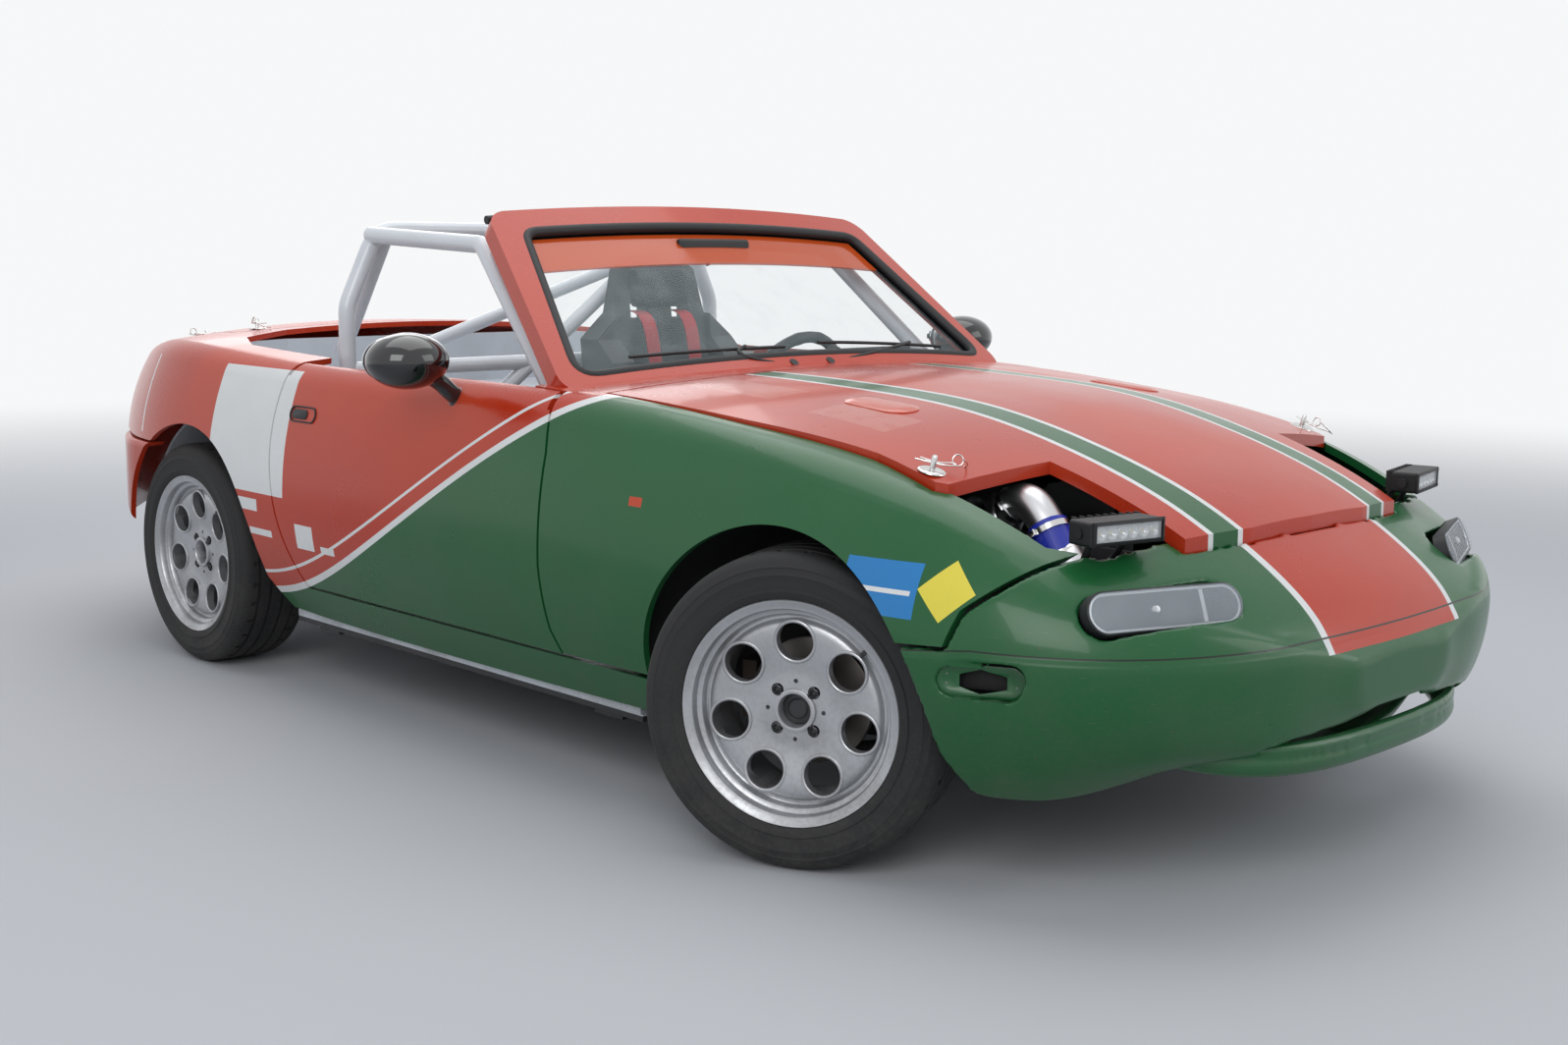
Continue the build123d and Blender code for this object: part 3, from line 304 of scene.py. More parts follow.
# Body colours and the two-colour scheme
paintValues = {"orange": (0.50, 0.032, 0.007), "fadedOrange": (0.58, 0.060, 0.018),
               "green": (0.008, 0.105, 0.028),
               "white": (0.80, 0.81, 0.80), "blue": (0.02, 0.22, 0.55), "yellow": (0.85, 0.72, 0.08),
               "lineHalf": 0.0085, "patches": ((0.60, 0.86, 0.40, 0.52), (1.00, 1.20, 0.44, 0.55)),
               "diamond": (1.538, 0.556),
               "marks": ((-0.890, -0.510, 0.502, 0.806, "white"), (1.340, 1.488, 0.505, 0.597, "blue"),
                         (1.352, 1.476, 0.543, 0.551, "white"),
                         (0.772, 0.808, 0.622, 0.640, "fadedOrange"), (-0.800, -0.640, 0.455, 0.485, "white"),
                         (-0.800, -0.720, 0.395, 0.430, "white"), (-0.690, -0.580, 0.395, 0.412, "white"),
                         (-0.460, -0.380, 0.385, 0.445, "white"), (-0.350, -0.290, 0.385, 0.402, "white"),
                         (-1.308, -1.299, 0.600, 0.810, "white"))}


def inBand(tree, value, low, high):
    above = mathNode(tree, "GREATER_THAN", value, low)
    below = mathNode(tree, "LESS_THAN", value, high)
    return mathNode(tree, "MULTIPLY", above, below)


def both(tree, first, second):
    return mathNode(tree, "MULTIPLY", first, second)


def either(tree, first, second):
    return mathNode(tree, "MAXIMUM", first, second)


def makeBodyPaint(name, kind):
    material, tree, shader, place = startMaterial(name, coat=0.3, coatRough=0.08, specular=0.35)
    split = addNode(tree, "ShaderNodeSeparateXYZ", Vector=place)
    x, y, z = (split.outputs[axis] for axis in "XYZ")
    side = mathNode(tree, "ABSOLUTE", y)
    values = paintValues
    half = values["lineHalf"]
    faded = mapRange(tree, noiseAt(tree, place, 2.2, 5), 0.38, 0.66)
    upward = mapRange(tree, z, 0.55, 0.86, 0.25, 0.75)
    orange = mixColour(tree, mathNode(tree, "MULTIPLY", faded, upward), values["orange"], values["fadedOrange"])
    if kind == "bonnet":
        band = inBand(tree, side, 0.235, 0.300)
        line = either(tree, inBand(tree, side, 0.222, 0.235), inBand(tree, side, 0.300, 0.313))
        shade = mixColour(tree, band, orange, values["green"])
        edge = mapRange(tree, noiseAt(tree, place, 30), 0.3, 0.5, 0.25, 0.5)
        for low, high, near, far in values["patches"]:
            patch = both(tree, both(tree, inBand(tree, x, low, high), inBand(tree, side, near, far)), edge)
            shade = mixColour(tree, patch, shade, (0.62, 0.20, 0.15))
        shade = mixColour(tree, line, shade, values["white"])
        # painted shade: faces turned downwards, the bonnet's underside and lower edge, are painted near black
        # for the shade in the gap below it
        normal = addNode(tree, "ShaderNodeNewGeometry").outputs["Normal"]
        facing = addNode(tree, "ShaderNodeSeparateXYZ", Vector=normal).outputs["Z"]
        shade = mixColour(tree, mathNode(tree, "LESS_THAN", facing, -0.20), shade, (0.012, 0.008, 0.007))
    elif kind == "nose":
        centre = both(tree, inBand(tree, side, -1, 0.222), mathNode(tree, "GREATER_THAN", z, 0.44))
        line = both(tree, inBand(tree, side, 0.222, 0.240), mathNode(tree, "GREATER_THAN", z, 0.44))
        shade = mixColour(tree, centre, values["green"], orange)
        shade = mixColour(tree, line, shade, values["white"])
    elif kind == "side":
        above = mathNode(tree, "SUBTRACT", z, mapRange(tree, x, -0.75, 0.98, 0.245, 0.90))
        shade = mixColour(tree, mathNode(tree, "LESS_THAN", above, 0.0), orange, values["green"])
        line = either(tree, inBand(tree, above, -half, half), inBand(tree, above, 0.045, 0.053))
        shade = mixColour(tree, line, shade, values["white"])
        for low, high, bottom, top, tint in values["marks"]:
            mark = both(tree, inBand(tree, x, low, high), inBand(tree, z, bottom, top))
            shade = mixColour(tree, mark, shade, values[tint])
        away = [mathNode(tree, "ABSOLUTE", mathNode(tree, "SUBTRACT", axis, middle))
                for axis, middle in zip((x, z), values["diamond"])]
        diamond = mathNode(tree, "LESS_THAN", mathNode(tree, "ADD", *away), 0.050)
        shade = mixColour(tree, diamond, shade, values["yellow"])
    else:
        shade = orange
    chip = placeGroup(tree, chipGroup, Vector=place, Scale=70.0, Amount=0.14 if kind == "nose" else 0.012)
    chipTint = values["orange"] if kind == "nose" else (0.10, 0.09, 0.085)
    shade = mixColour(tree, chip.outputs["Chips"], shade, chipTint)
    shade = mixColour(tree, chip.outputs["Scratch"], shade, (0.35, 0.30, 0.27))
    grime = placeGroup(tree, grimeGroup, Vector=place, Height=0.55, Amount=0.42)
    shade = mixColour(tree, grime.outputs["Dirt"], shade, (0.13, 0.115, 0.095))
    tree.links.new(shade, shader.inputs["Base Color"])
    peel = placeGroup(tree, grainGroup, Vector=place, Scale=160.0, Strength=0.05, Distance=0.0006)
    tree.links.new(peel.outputs["Normal"], shader.inputs["Normal"])
    if kind == "nose":  # the parting line and step above the lower cover, as a bump and a painted shade line
        back = mathNode(tree, "MAXIMUM", mathNode(tree, "SUBTRACT", 1.60, x), 0.0)
        above = mathNode(tree, "SUBTRACT", z, mathNode(tree, "MULTIPLY_ADD", back, -0.11, 0.462))
        step = addNode(tree, "ShaderNodeBump", Height=mapRange(tree, above, -0.010, 0.006, 1.0, 0.0),
                       Strength=1.0,
                       Distance=0.006, Normal=peel.outputs["Normal"])
        tree.links.new(step.outputs["Normal"], shader.inputs["Normal"])
        # painted shade: a thin near-black line in the step stands in for the shade in the parting groove
        shade = mixColour(tree, inBand(tree, above, 0.0035, 0.0065), shade, (0.004, 0.012, 0.006))
        tree.links.new(shade, shader.inputs["Base Color"])
    rough = mathNode(tree, "MULTIPLY_ADD", faded, 0.12, 0.26)
    rough = mathNode(tree, "MULTIPLY_ADD", grime.outputs["Dirt"], 0.5, rough, clamp=True)
    tree.links.new(rough, shader.inputs["Roughness"])
    return material


def makeGlass(name, colour, alpha, rough=0.03, ribs=0.0):
    material, tree, shader, place = startMaterial(name)
    film = mapRange(tree, noiseAt(tree, place, 14, 8), 0.45, 0.75)
    shade = mixColour(tree, mathNode(tree, "MULTIPLY", film, 0.12), colour, (0.55, 0.55, 0.52))
    tree.links.new(shade, shader.inputs["Base Color"])
    tree.links.new(mathNode(tree, "MULTIPLY_ADD", film, 0.06, alpha, clamp=True), shader.inputs["Alpha"])
    tree.links.new(mathNode(tree, "MULTIPLY_ADD", film, 0.10, rough), shader.inputs["Roughness"])
    if name == "screenGlass":  # black border and orange sun strip, by the place along the sloping glass
        split = addNode(tree, "ShaderNodeSeparateXYZ", Vector=place)
        slope = mathNode(tree, "MULTIPLY_ADD", mathNode(tree, "SUBTRACT", split.outputs["X"], 0.4735), -0.7754,
                         mathNode(tree, "MULTIPLY", mathNode(tree, "SUBTRACT", split.outputs["Z"], 0.832),
                                  0.6313))
        wide = mathNode(tree, "MULTIPLY_ADD", mathNode(tree, "SUBTRACT", slope, 0.042), -0.268, 0.640)
        border = mathNode(tree, "GREATER_THAN", mathNode(tree, "ABSOLUTE", split.outputs["Y"]), wide)
        border = either(tree, border, mathNode(tree, "LESS_THAN", slope, 0.062))
        border = either(tree, border, mathNode(tree, "GREATER_THAN", slope, 0.492))
        strip = mathNode(tree, "GREATER_THAN", slope, 0.385)
        shade = mixColour(tree, strip, shade, (0.62, 0.085, 0.012))
        shade = mixColour(tree, border, shade, (0.006, 0.006, 0.007))
        tree.links.new(shade, shader.inputs["Base Color"])
        clear = mathNode(tree, "MULTIPLY_ADD", film, 0.05, alpha)
        clear = mathNode(tree, "MAXIMUM", clear, mathNode(tree, "MULTIPLY", strip, 0.86))
        tree.links.new(mathNode(tree, "MAXIMUM", clear, border), shader.inputs["Alpha"])
    if ribs:
        split = addNode(tree, "ShaderNodeSeparateXYZ", Vector=place)
        wave = mathNode(tree, "SINE", mathNode(tree, "MULTIPLY", split.outputs["Y"], ribs * 6.283))
        rise = mathNode(tree, "SINE", mathNode(tree, "MULTIPLY", split.outputs["Z"], ribs * 0.45 * 6.283))
        relief = mathNode(tree, "MULTIPLY_ADD", rise, 0.12, wave)
        bump = addNode(tree, "ShaderNodeBump", Height=relief, Strength=0.6, Distance=0.0012)
        tree.links.new(bump.outputs["Normal"], shader.inputs["Normal"])
    return material


paints = {kind: makeBodyPaint("bodyPaint" + kind.capitalize(), kind)
          for kind in ("side", "bonnet", "nose", "deck", "tail")}
finishes = {
    "whitePaint": makeFinish("whitePaint", (0.60, 0.63, 0.67), 0.42, coat=0.2, grain=0.08, dirt=0.55,
                             dirtHeight=0.9,
                             dirtColour=(0.22, 0.21, 0.19), chips=0.10),
    "tubPaint": makeFinish("tubPaint", (0.60, 0.63, 0.67), 0.42, coat=0.2, grain=0.08, dirt=0.55,
                           dirtHeight=0.9,
                           dirtColour=(0.22, 0.21, 0.19), chips=0.10, darkBelow=0.182),
    "cagePaint": makeFinish("cagePaint", (0.72, 0.75, 0.79), 0.28, coat=0.6, grain=0.04, dirt=0.25,
                            dirtHeight=0.9),
    "underbody": makeFinish("underbody", (0.014, 0.014, 0.016), 0.75, grain=0.5, grainScale=260, dirt=0.7),
    "blackPlastic": makeFinish("blackPlastic", (0.016, 0.016, 0.018), 0.5, grain=0.3, grainScale=700),
    "mirrorShell": makeFinish("mirrorShell", (0.006, 0.006, 0.008), 0.12, coat=0.8, grain=0.02, dirt=0.1),
    "rubber": makeFinish("rubber", (0.012, 0.013, 0.015), 0.55, grain=0.2),
    "seatCloth": makeFinish("seatCloth", (0.018, 0.018, 0.021), 0.85, grain=0.5, grainScale=1400,
                            grainDepth=0.0008),
    "harnessRed": makeFinish("harnessRed", (0.55, 0.014, 0.02), 0.7, grain=0.4, grainScale=1200, dirt=0.2),
    "dashPlastic": makeFinish("dashPlastic", (0.022, 0.024, 0.028), 0.62, grain=0.4, grainScale=650,
                              dirtHeight=1.2,
                              dirt=0.25),
    "wheelLeather": makeFinish("wheelLeather", (0.018, 0.018, 0.02), 0.5, grain=0.45, grainScale=420),
    "alloy": makeFinish("alloy", (0.50, 0.51, 0.53), 0.34, metallic=0.75, grain=0.06, dirt=0.5, dirtHeight=0.7),
    "bareAlloy": makeFinish("bareAlloy", (0.62, 0.63, 0.65), 0.32, metallic=1.0, grain=0.1),
    "steel": makeFinish("steel", (0.22, 0.22, 0.225), 0.45, metallic=0.9, grain=0.2, dirt=0.6),
    "iron": makeFinish("iron", (0.09, 0.07, 0.06), 0.7, metallic=0.6, grain=0.4, grainScale=200, dirt=0.6),
    "engineMetal": makeFinish("engineMetal", (0.10, 0.10, 0.105), 0.55, metallic=0.6, grain=0.3, dirt=0.5),
    "tyreRubber": makeFinish("tyreRubber", (0.018, 0.018, 0.019), 0.72, grain=0.35, grainScale=600, dirt=0.5,
                             dirtColour=(0.10, 0.095, 0.085)),
    "lampHousing": makeFinish("lampHousing", (0.015, 0.015, 0.017), 0.5, metallic=0.3, grain=0.2),
    "screenGlass": makeGlass("screenGlass", (0.55, 0.68, 0.70), 0.09),
    "lampClear": makeGlass("lampClear", (0.85, 0.88, 0.90), 0.35),
    "lampRed": makeGlass("lampRed", (0.45, 0.01, 0.012), 0.88, rough=0.12),
    "darkSteel": makeFinish("darkSteel", (0.055, 0.056, 0.060), 0.4, metallic=0.7, grain=0.2, dirt=0.3),
    "discIron": makeFinish("discIron", (0.16, 0.145, 0.135), 0.42, metallic=0.85, grain=0.25, grainScale=300,
                           dirt=0.4),
    "reflector": makeFinish("reflector", (0.62, 0.64, 0.66), 0.16, metallic=0.95, grain=0.03, dirt=0.1),
    "ribbedLens": makeGlass("ribbedLens", (0.62, 0.68, 0.74), 0.26, rough=0.06, ribs=170.0),
    "chipYellow": makeFinish("chipYellow", (0.75, 0.62, 0.18), 0.5, dirt=0.0, cloud=0.3),
    "coolerMetal": makeFinish("coolerMetal", (0.24, 0.22, 0.20), 0.45, metallic=0.7, grain=0.2, dirt=0.6),
    "coolerDark": makeFinish("coolerDark", (0.040, 0.038, 0.036), 0.6, metallic=0.4, grain=0.2, dirt=0.6),
    "bracketGrey": makeFinish("bracketGrey", (0.10, 0.105, 0.11), 0.5, metallic=0.4, grain=0.2, dirt=0.4),
    "mirrorGlass": makeFinish("mirrorGlass", (0.75, 0.78, 0.80), 0.04, metallic=1.0, grain=0.0, dirt=0.1,
                              cloud=0.05),
    "polished": makeFinish("polished", (0.66, 0.66, 0.65), 0.18, metallic=1.0, grain=0.05, dirt=0.1),
    "blueSilicone": makeFinish("blueSilicone", (0.018, 0.035, 0.42), 0.35, coat=0.3, grain=0.12,
                               grainScale=300),
    "orangePaint": makeFinish("orangePaint", (0.60, 0.060, 0.014), 0.32, coat=0.6, grain=0.05, chips=0.05),
    "greenPaint": makeFinish("greenPaint", (0.008, 0.105, 0.028), 0.30, coat=0.3, grain=0.05, chips=0.06,
                             chipColour=(0.45, 0.06, 0.02)),
}
finishes["nosePaint"] = paints["nose"]
nodeFinish = {
    "floor_tub": "tubPaint", "front_structure": "underbody", "rear_tub": "whitePaint", "roll_cage": "cagePaint",
    "seat": "blackPlastic", "harness": "harnessRed", "dashboard": "dashPlastic",
              "steering_wheel": "wheelLeather",
    "engine_block": "engineMetal", "drivetrain": "steel", "front_subframe": "underbody",
    "rear_subframe": "underbody", "front_knuckle_left": "iron", "front_knuckle_right": "iron",
              "exhaust": "steel",
    "intercooler": "bareAlloy", "intake_pipe": "bareAlloy", "windscreen_glass": "screenGlass",
    "turn_lamps": "lampClear", "tail_lamps": "lampRed", "light_bars": "lampHousing",
    "door_mirror_left": "mirrorShell", "door_mirror_right": "mirrorShell"}
bodyKinds = {"front_wing_left": "side", "front_wing_right": "side", "door_left": "side", "door_right": "side",
             "body_side_left": "side", "body_side_right": "side", "front_cover": "nose", "bonnet": "bonnet",
             "cowl_panel": "deck", "rear_deck": "deck", "boot_lid": "deck", "rear_cover": "tail",
             "windscreen_frame": "deck"}
for corner in ("front_left", "front_right", "rear_left", "rear_right"):
    nodeFinish["rim_" + corner] = "alloy"
    nodeFinish["tyre_" + corner] = "tyreRubber"


def dress(node, material):
    for slot in nodes[node].material_slots:
        slot.material = material


for node, key in nodeFinish.items():
    dress(node, finishes[key])
for node, kind in bodyKinds.items():
    dress(node, paints[kind])
print("CAD nodes dressed")


# Modelling helpers
def startPiece(name, operator, **values):
    bpy.ops.object.select_all(action="DESELECT")
    operator(**values)
    piece = bpy.context.object
    piece.name = name
    piece.data.name = name
    bpy.ops.object.transform_apply(location=True, rotation=True, scale=True)
    return piece


def chooseOnly(piece):
    bpy.ops.object.select_all(action="DESELECT")
    bpy.context.view_layer.objects.active = piece
    piece.select_set(True)


def pick(piece, kind, test):  # opens edit mode with the vertices, edges or faces that pass the test
    chooseOnly(piece)
    bpy.ops.object.mode_set(mode="EDIT")
    bpy.ops.mesh.select_mode(type=kind)
    bpy.ops.mesh.select_all(action="DESELECT")
    mesh = bmesh.from_edit_mesh(piece.data)
    if kind == "VERT":
        for vertex in mesh.verts:
            vertex.select_set(bool(test(vertex.co)))
    elif kind == "FACE":
        for face in mesh.faces:
            face.select_set(bool(test(face.calc_center_median(), face.normal)))
    else:
        for edge in mesh.edges:
            edge.select_set(bool(test(edge.verts[0].co, edge.verts[1].co)))
    bmesh.update_edit_mesh(piece.data)


def leaveEdit():
    bpy.ops.object.mode_set(mode="OBJECT")


def push(move):
    bpy.ops.mesh.extrude_region_move(TRANSFORM_OT_translate={"value": move})


def movePart(piece, move, test):
    pick(piece, "VERT", test)
    bpy.ops.transform.translate(value=move)
    leaveEdit()


def resizePiece(piece, value):
    pick(piece, "VERT", lambda place: True)
    bpy.ops.transform.resize(value=value)
    leaveEdit()


def shiftBy(place):
    return Matrix.Translation(place)


def rotated(angle, axis):
    return Matrix.Rotation(angle, 4, axis)


def aimed(direction, track="Y", up="Z"):  # turns the track axis along the direction
    return Vector(direction).to_track_quat(track, up).to_matrix().to_4x4()


def inCar(*points):  # places whose X is given forward of the front axle
    return [(atX(station), y, z) for station, y, z in points]


def tidyMesh(piece):
    pick(piece, "VERT", lambda place: True)
    bpy.ops.mesh.remove_doubles(threshold=0.00003)
    bpy.ops.mesh.normals_make_consistent(inside=False)
    leaveEdit()


def applyModifier(piece, kind, **values):
    chooseOnly(piece)
    modifier = piece.modifiers.new(kind.lower(), kind)
    for key, value in values.items():
        setattr(modifier, key, value)
    bpy.ops.object.modifier_apply(modifier=modifier.name)


def carve(piece, cutter):
    applyModifier(piece, "BOOLEAN", object=cutter, operation="DIFFERENCE", solver="EXACT")
    bpy.data.objects.remove(cutter)


def lathe(name, outline, steps):  # spins (radius, along) points round the Y axis
    piece = startPiece(name, bpy.ops.mesh.primitive_plane_add, size=0.01)
    pick(piece, "VERT", lambda place: True)
    bpy.ops.mesh.merge(type="CENTER")
    bpy.ops.transform.translate(value=(outline[0][0], outline[0][1], 0))
    for before, after in zip(outline, outline[1:]):
        step = (after[0] - before[0], after[1] - before[1], 0)
        push(step)
    bpy.ops.mesh.select_all(action="SELECT")
    bpy.ops.mesh.spin(steps=steps, angle=2 * pi, center=(0, 0, 0), axis=(0, 1, 0))
    leaveEdit()
    tidyMesh(piece)
    return piece


def placeWith(piece, matrix):
    chooseOnly(piece)
    piece.matrix_world = matrix
    bpy.ops.object.transform_apply(location=True, rotation=True, scale=True)
    if matrix.determinant() < 0:
        tidyMesh(piece)
    return piece


def copyPiece(piece, name, matrix=None):
    twin = piece.copy()
    twin.data = piece.data.copy()
    twin.name = name
    twin.data.name = name
    bpy.context.scene.collection.objects.link(twin)
    return placeWith(twin, matrix) if matrix else twin


def joinPieces(name, pieces):
    bpy.ops.object.select_all(action="DESELECT")
    for piece in pieces:
        piece.select_set(True)
    bpy.context.view_layer.objects.active = pieces[0]
    if len(pieces) > 1:
        bpy.ops.object.join()
    pieces[0].name = name
    pieces[0].data.name = name
    return pieces[0]


def finishPiece(piece, body, finish, bevel=0.0, angle=35, replaces=()):
    if bevel:
        applyModifier(piece, "BEVEL", width=bevel, segments=2, limit_method="ANGLE", angle_limit=radians(40))
    chooseOnly(piece)
    bpy.ops.object.shade_smooth_by_angle(angle=radians(angle))
    piece.data.materials.clear()
    piece.data.materials.append(finishes[finish])
    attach(piece, body)
    if replaces:
        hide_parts(*replaces)
    return piece


def tube(name, points, radius, closed=False, sides=4, order=3, poly=False):
    data = bpy.data.curves.new(name, "CURVE")
    data.dimensions = "3D"
    data.bevel_depth = radius
    data.bevel_resolution = sides
    data.use_fill_caps = True
    data.resolution_u = 8
    line = data.splines.new("POLY" if poly else "NURBS")
    line.points.add(len(points) - 1)
    for index, point in enumerate(points):
        line.points[index].co = (*point, 1)
    line.use_cyclic_u = closed
    if not poly:
        line.order_u = order
        line.use_endpoint_u = not closed
    holder = bpy.data.objects.new(name, data)
    bpy.context.scene.collection.objects.link(holder)
    chooseOnly(holder)
    bpy.ops.object.convert(target="MESH")
    tidyMesh(holder)
    return holder


def ribbon(name, points, across, width, thick):  # a flat strap along the points
    piece = startPiece(name, bpy.ops.mesh.primitive_plane_add, size=0.01)
    pick(piece, "VERT", lambda place: True)
    bpy.ops.mesh.merge(type="CENTER")
    side = Vector(across).normalized() * width
    bpy.ops.transform.translate(value=Vector(points[0]) - side / 2)
    for before, after in zip(points, points[1:]):
        step = Vector(after) - Vector(before)
        push(step)
    bpy.ops.mesh.select_all(action="SELECT")
    push(side)
    leaveEdit()
    tidyMesh(piece)
    applyModifier(piece, "SUBSURF", levels=1, render_levels=1)
    applyModifier(piece, "SOLIDIFY", thickness=thick, offset=0)
    return piece


def block(name, low, high, bevel=0.0):
    middle = [(a + b) / 2 for a, b in zip(low, high)]
    size = [abs(b - a) for a, b in zip(low, high)]
    piece = startPiece(name, bpy.ops.mesh.primitive_cube_add, size=1, location=middle, scale=size)
    if bevel:
        applyModifier(piece, "BEVEL", width=bevel, segments=3)
    return piece


def rodBetween(name, start, end, radius, vertices=20):
    start, end = Vector(start), Vector(end)
    piece = startPiece(name, bpy.ops.mesh.primitive_cylinder_add, vertices=vertices, radius=radius,
                       depth=(end - start).length)
    return placeWith(piece, shiftBy((start + end) / 2) @ aimed(end - start, "Z", "Y"))


sides = (("left", 1), ("right", -1))

# Tyres and rims, made once with the axle along Y and the face towards -Y
tyreValues = {"steps": 170, "slotEvery": 5, "slotDepth": 0.0045}
tyreHalf = ((0.2097, 0.0800), (0.2097, 0.0965), (0.2125, 0.0990), (0.2190, 0.1008), (0.2232, 0.1030),
            (0.2258, 0.1030), (0.2282, 0.1008), (0.2380, 0.1018), (0.2520, 0.1016), (0.2535, 0.1023),
            (0.2556, 0.1010), (0.2655, 0.0992), (0.2672, 0.0999), (0.2690, 0.0992), (0.2702, 0.0980),
            (0.2775, 0.0948), (0.2840, 0.0896), (0.2880, 0.0840), (0.2905, 0.0775), (0.2918, 0.0700),
            (0.2925, 0.0560), (0.2868, 0.0552), (0.2866, 0.0482), (0.2927, 0.0474), (0.2930, 0.0230),
            (0.2872, 0.0222), (0.2872, 0.0142), (0.2930, 0.0134))


def makeTyre(values):
    outline = [(r, -y) for r, y in tyreHalf] + [(r, y) for r,
                                                y in reversed(tyreHalf)] + [(tyreHalf[0][0], -0.08)]
    piece = lathe("tyreMaster", outline, values["steps"])
    pitch = 2 * pi / values["steps"]

    def isSlot(place, normal):
        reach = sqrt(place.x ** 2 + place.z ** 2)
        count = int((atan2(place.z, place.x) + 2 * pi) / pitch)
        return reach > 0.29 and abs(abs(place.y) - 0.063) < 0.005 and count % values["slotEvery"] == 0

    pick(piece, "FACE", isSlot)
    bpy.ops.mesh.extrude_region_shrink_fatten(TRANSFORM_OT_shrink_fatten={"value": -values["slotDepth"]})
    leaveEdit()
    return piece


rimValues = {"steps": 168, "holes": 7, "holeRadius": 0.0365, "holeCircle": 0.128, "lugs": 4, "lugCircle": 0.050}
rimOutline = ((0.030, -0.0640), (0.032, -0.0672), (0.036, -0.0680), (0.0395, -0.0668), (0.0405, -0.0605),
              (0.058, -0.0602), (0.066, -0.0594), (0.078, -0.0600), (0.095, -0.0625), (0.115, -0.0655),
              (0.135, -0.0678), (0.152, -0.0684), (0.160, -0.0672), (0.1650, -0.0635), (0.1670, -0.0590),
              (0.1690, -0.0572), (0.1735, -0.0572), (0.1760, -0.0590), (0.1775, -0.0680), (0.1800, -0.0720),
              (0.1865, -0.0735), (0.1885, -0.0755), (0.1893, -0.0870), (0.1915, -0.0905), (0.1990, -0.0925),
              (0.2040, -0.0960), (0.2075, -0.0972), (0.2090, -0.0955), (0.2085, -0.0880), (0.1910, -0.0800),
              (0.1905, -0.0400), (0.1720, -0.0200), (0.1720, 0.0300), (0.1905, 0.0550), (0.1910, 0.0800),
              (0.2085, 0.0880), (0.2085, 0.0960), (0.2040, 0.0955), (0.1840, 0.0900), (0.1820, 0.0580),
              (0.1660, 0.0360), (0.1640, -0.0300), (0.1550, -0.0480), (0.1350, -0.0470), (0.0750, -0.0380),
              (0.0340, -0.0360), (0.0300, -0.0380), (0.0300, -0.0640))


def makeRim(values):
    rim = lathe("rimMaster", rimOutline, values["steps"])
    cutters = []
    turnUp = rotated(pi / 2, "X")
    for count, circle, radius, start, name, depth, middle in (
            (values["holes"], values["holeCircle"], values["holeRadius"], pi / 2, "hole", 0.08, -0.052),
            (values["lugs"], values["lugCircle"], 0.0118, pi / 4, "lugPocket", 0.022, -0.060),
            (values["lugs"], values["lugCircle"], 0.0042, pi / 2, "smallHole", 0.030, -0.060)):
        for index in range(count):
            angle = start + 2 * pi * index / count
            reach = circle + (0.004 if name == "smallHole" else 0.0)
            cutter = startPiece(name, bpy.ops.mesh.primitive_cylinder_add,
                                vertices=56 if name == "hole" else 28,
                                radius=radius, depth=depth)
            cutters.append(placeWith(cutter, shiftBy((reach * cos(angle), middle, reach * sin(angle)))
                                     @ turnUp))
    cutter = joinPieces("rimCutter", cutters)
    carve(rim, cutter)
    collars = []
    for index in range(values["holes"]):
        angle = pi / 2 + 2 * pi * index / values["holes"]
        collar = startPiece("holeCollar", bpy.ops.mesh.primitive_torus_add,
                            major_radius=values["holeRadius"] + 0.0016,
                            minor_radius=0.0034, major_segments=56, minor_segments=10)
        lean = rotated(angle, "Y").inverted() @ rotated(0.10, "Z").inverted()
        move = shiftBy((values["holeCircle"] * cos(angle), -0.0662, values["holeCircle"] * sin(angle)))
        collars.append(placeWith(collar, move @ lean @ turnUp))
    return joinPieces("rimMaster", [rim] + collars)


def makeNuts():
    pieces = []
    for index in range(rimValues["lugs"]):
        angle = pi / 4 + 2 * pi * index / rimValues["lugs"]
        nut = startPiece("wheelNut", bpy.ops.mesh.primitive_cylinder_add, vertices=6, radius=0.0096,
                         depth=0.017)
        pick(nut, "FACE", lambda place, normal: normal.z > 0.9)
        bpy.ops.mesh.inset(thickness=0.0022)
        bpy.ops.transform.translate(value=(0, 0, 0.0015))
        bpy.ops.mesh.inset(thickness=0.0025)
        bpy.ops.transform.translate(value=(0, 0, -0.004))
        leaveEdit()
        move = shiftBy((0.050 * cos(angle), -0.0545, 0.050 * sin(angle)))
        pieces.append(placeWith(nut, move @ rotated(pi / 2, "X")))
    cap = lathe("hubEnd", ((0.0, -0.050), (0.016, -0.050), (0.020, -0.047), (0.0282, -0.046), (0.0282, -0.030),
                           (0.0, -0.030)), 40)
    valve = rodBetween("valve", (0.128, -0.0690, 0.1150), (0.1405, -0.0900, 0.1262), 0.0042, 14)
    pieces += [cap, valve]
    return joinPieces("nutMaster", pieces)


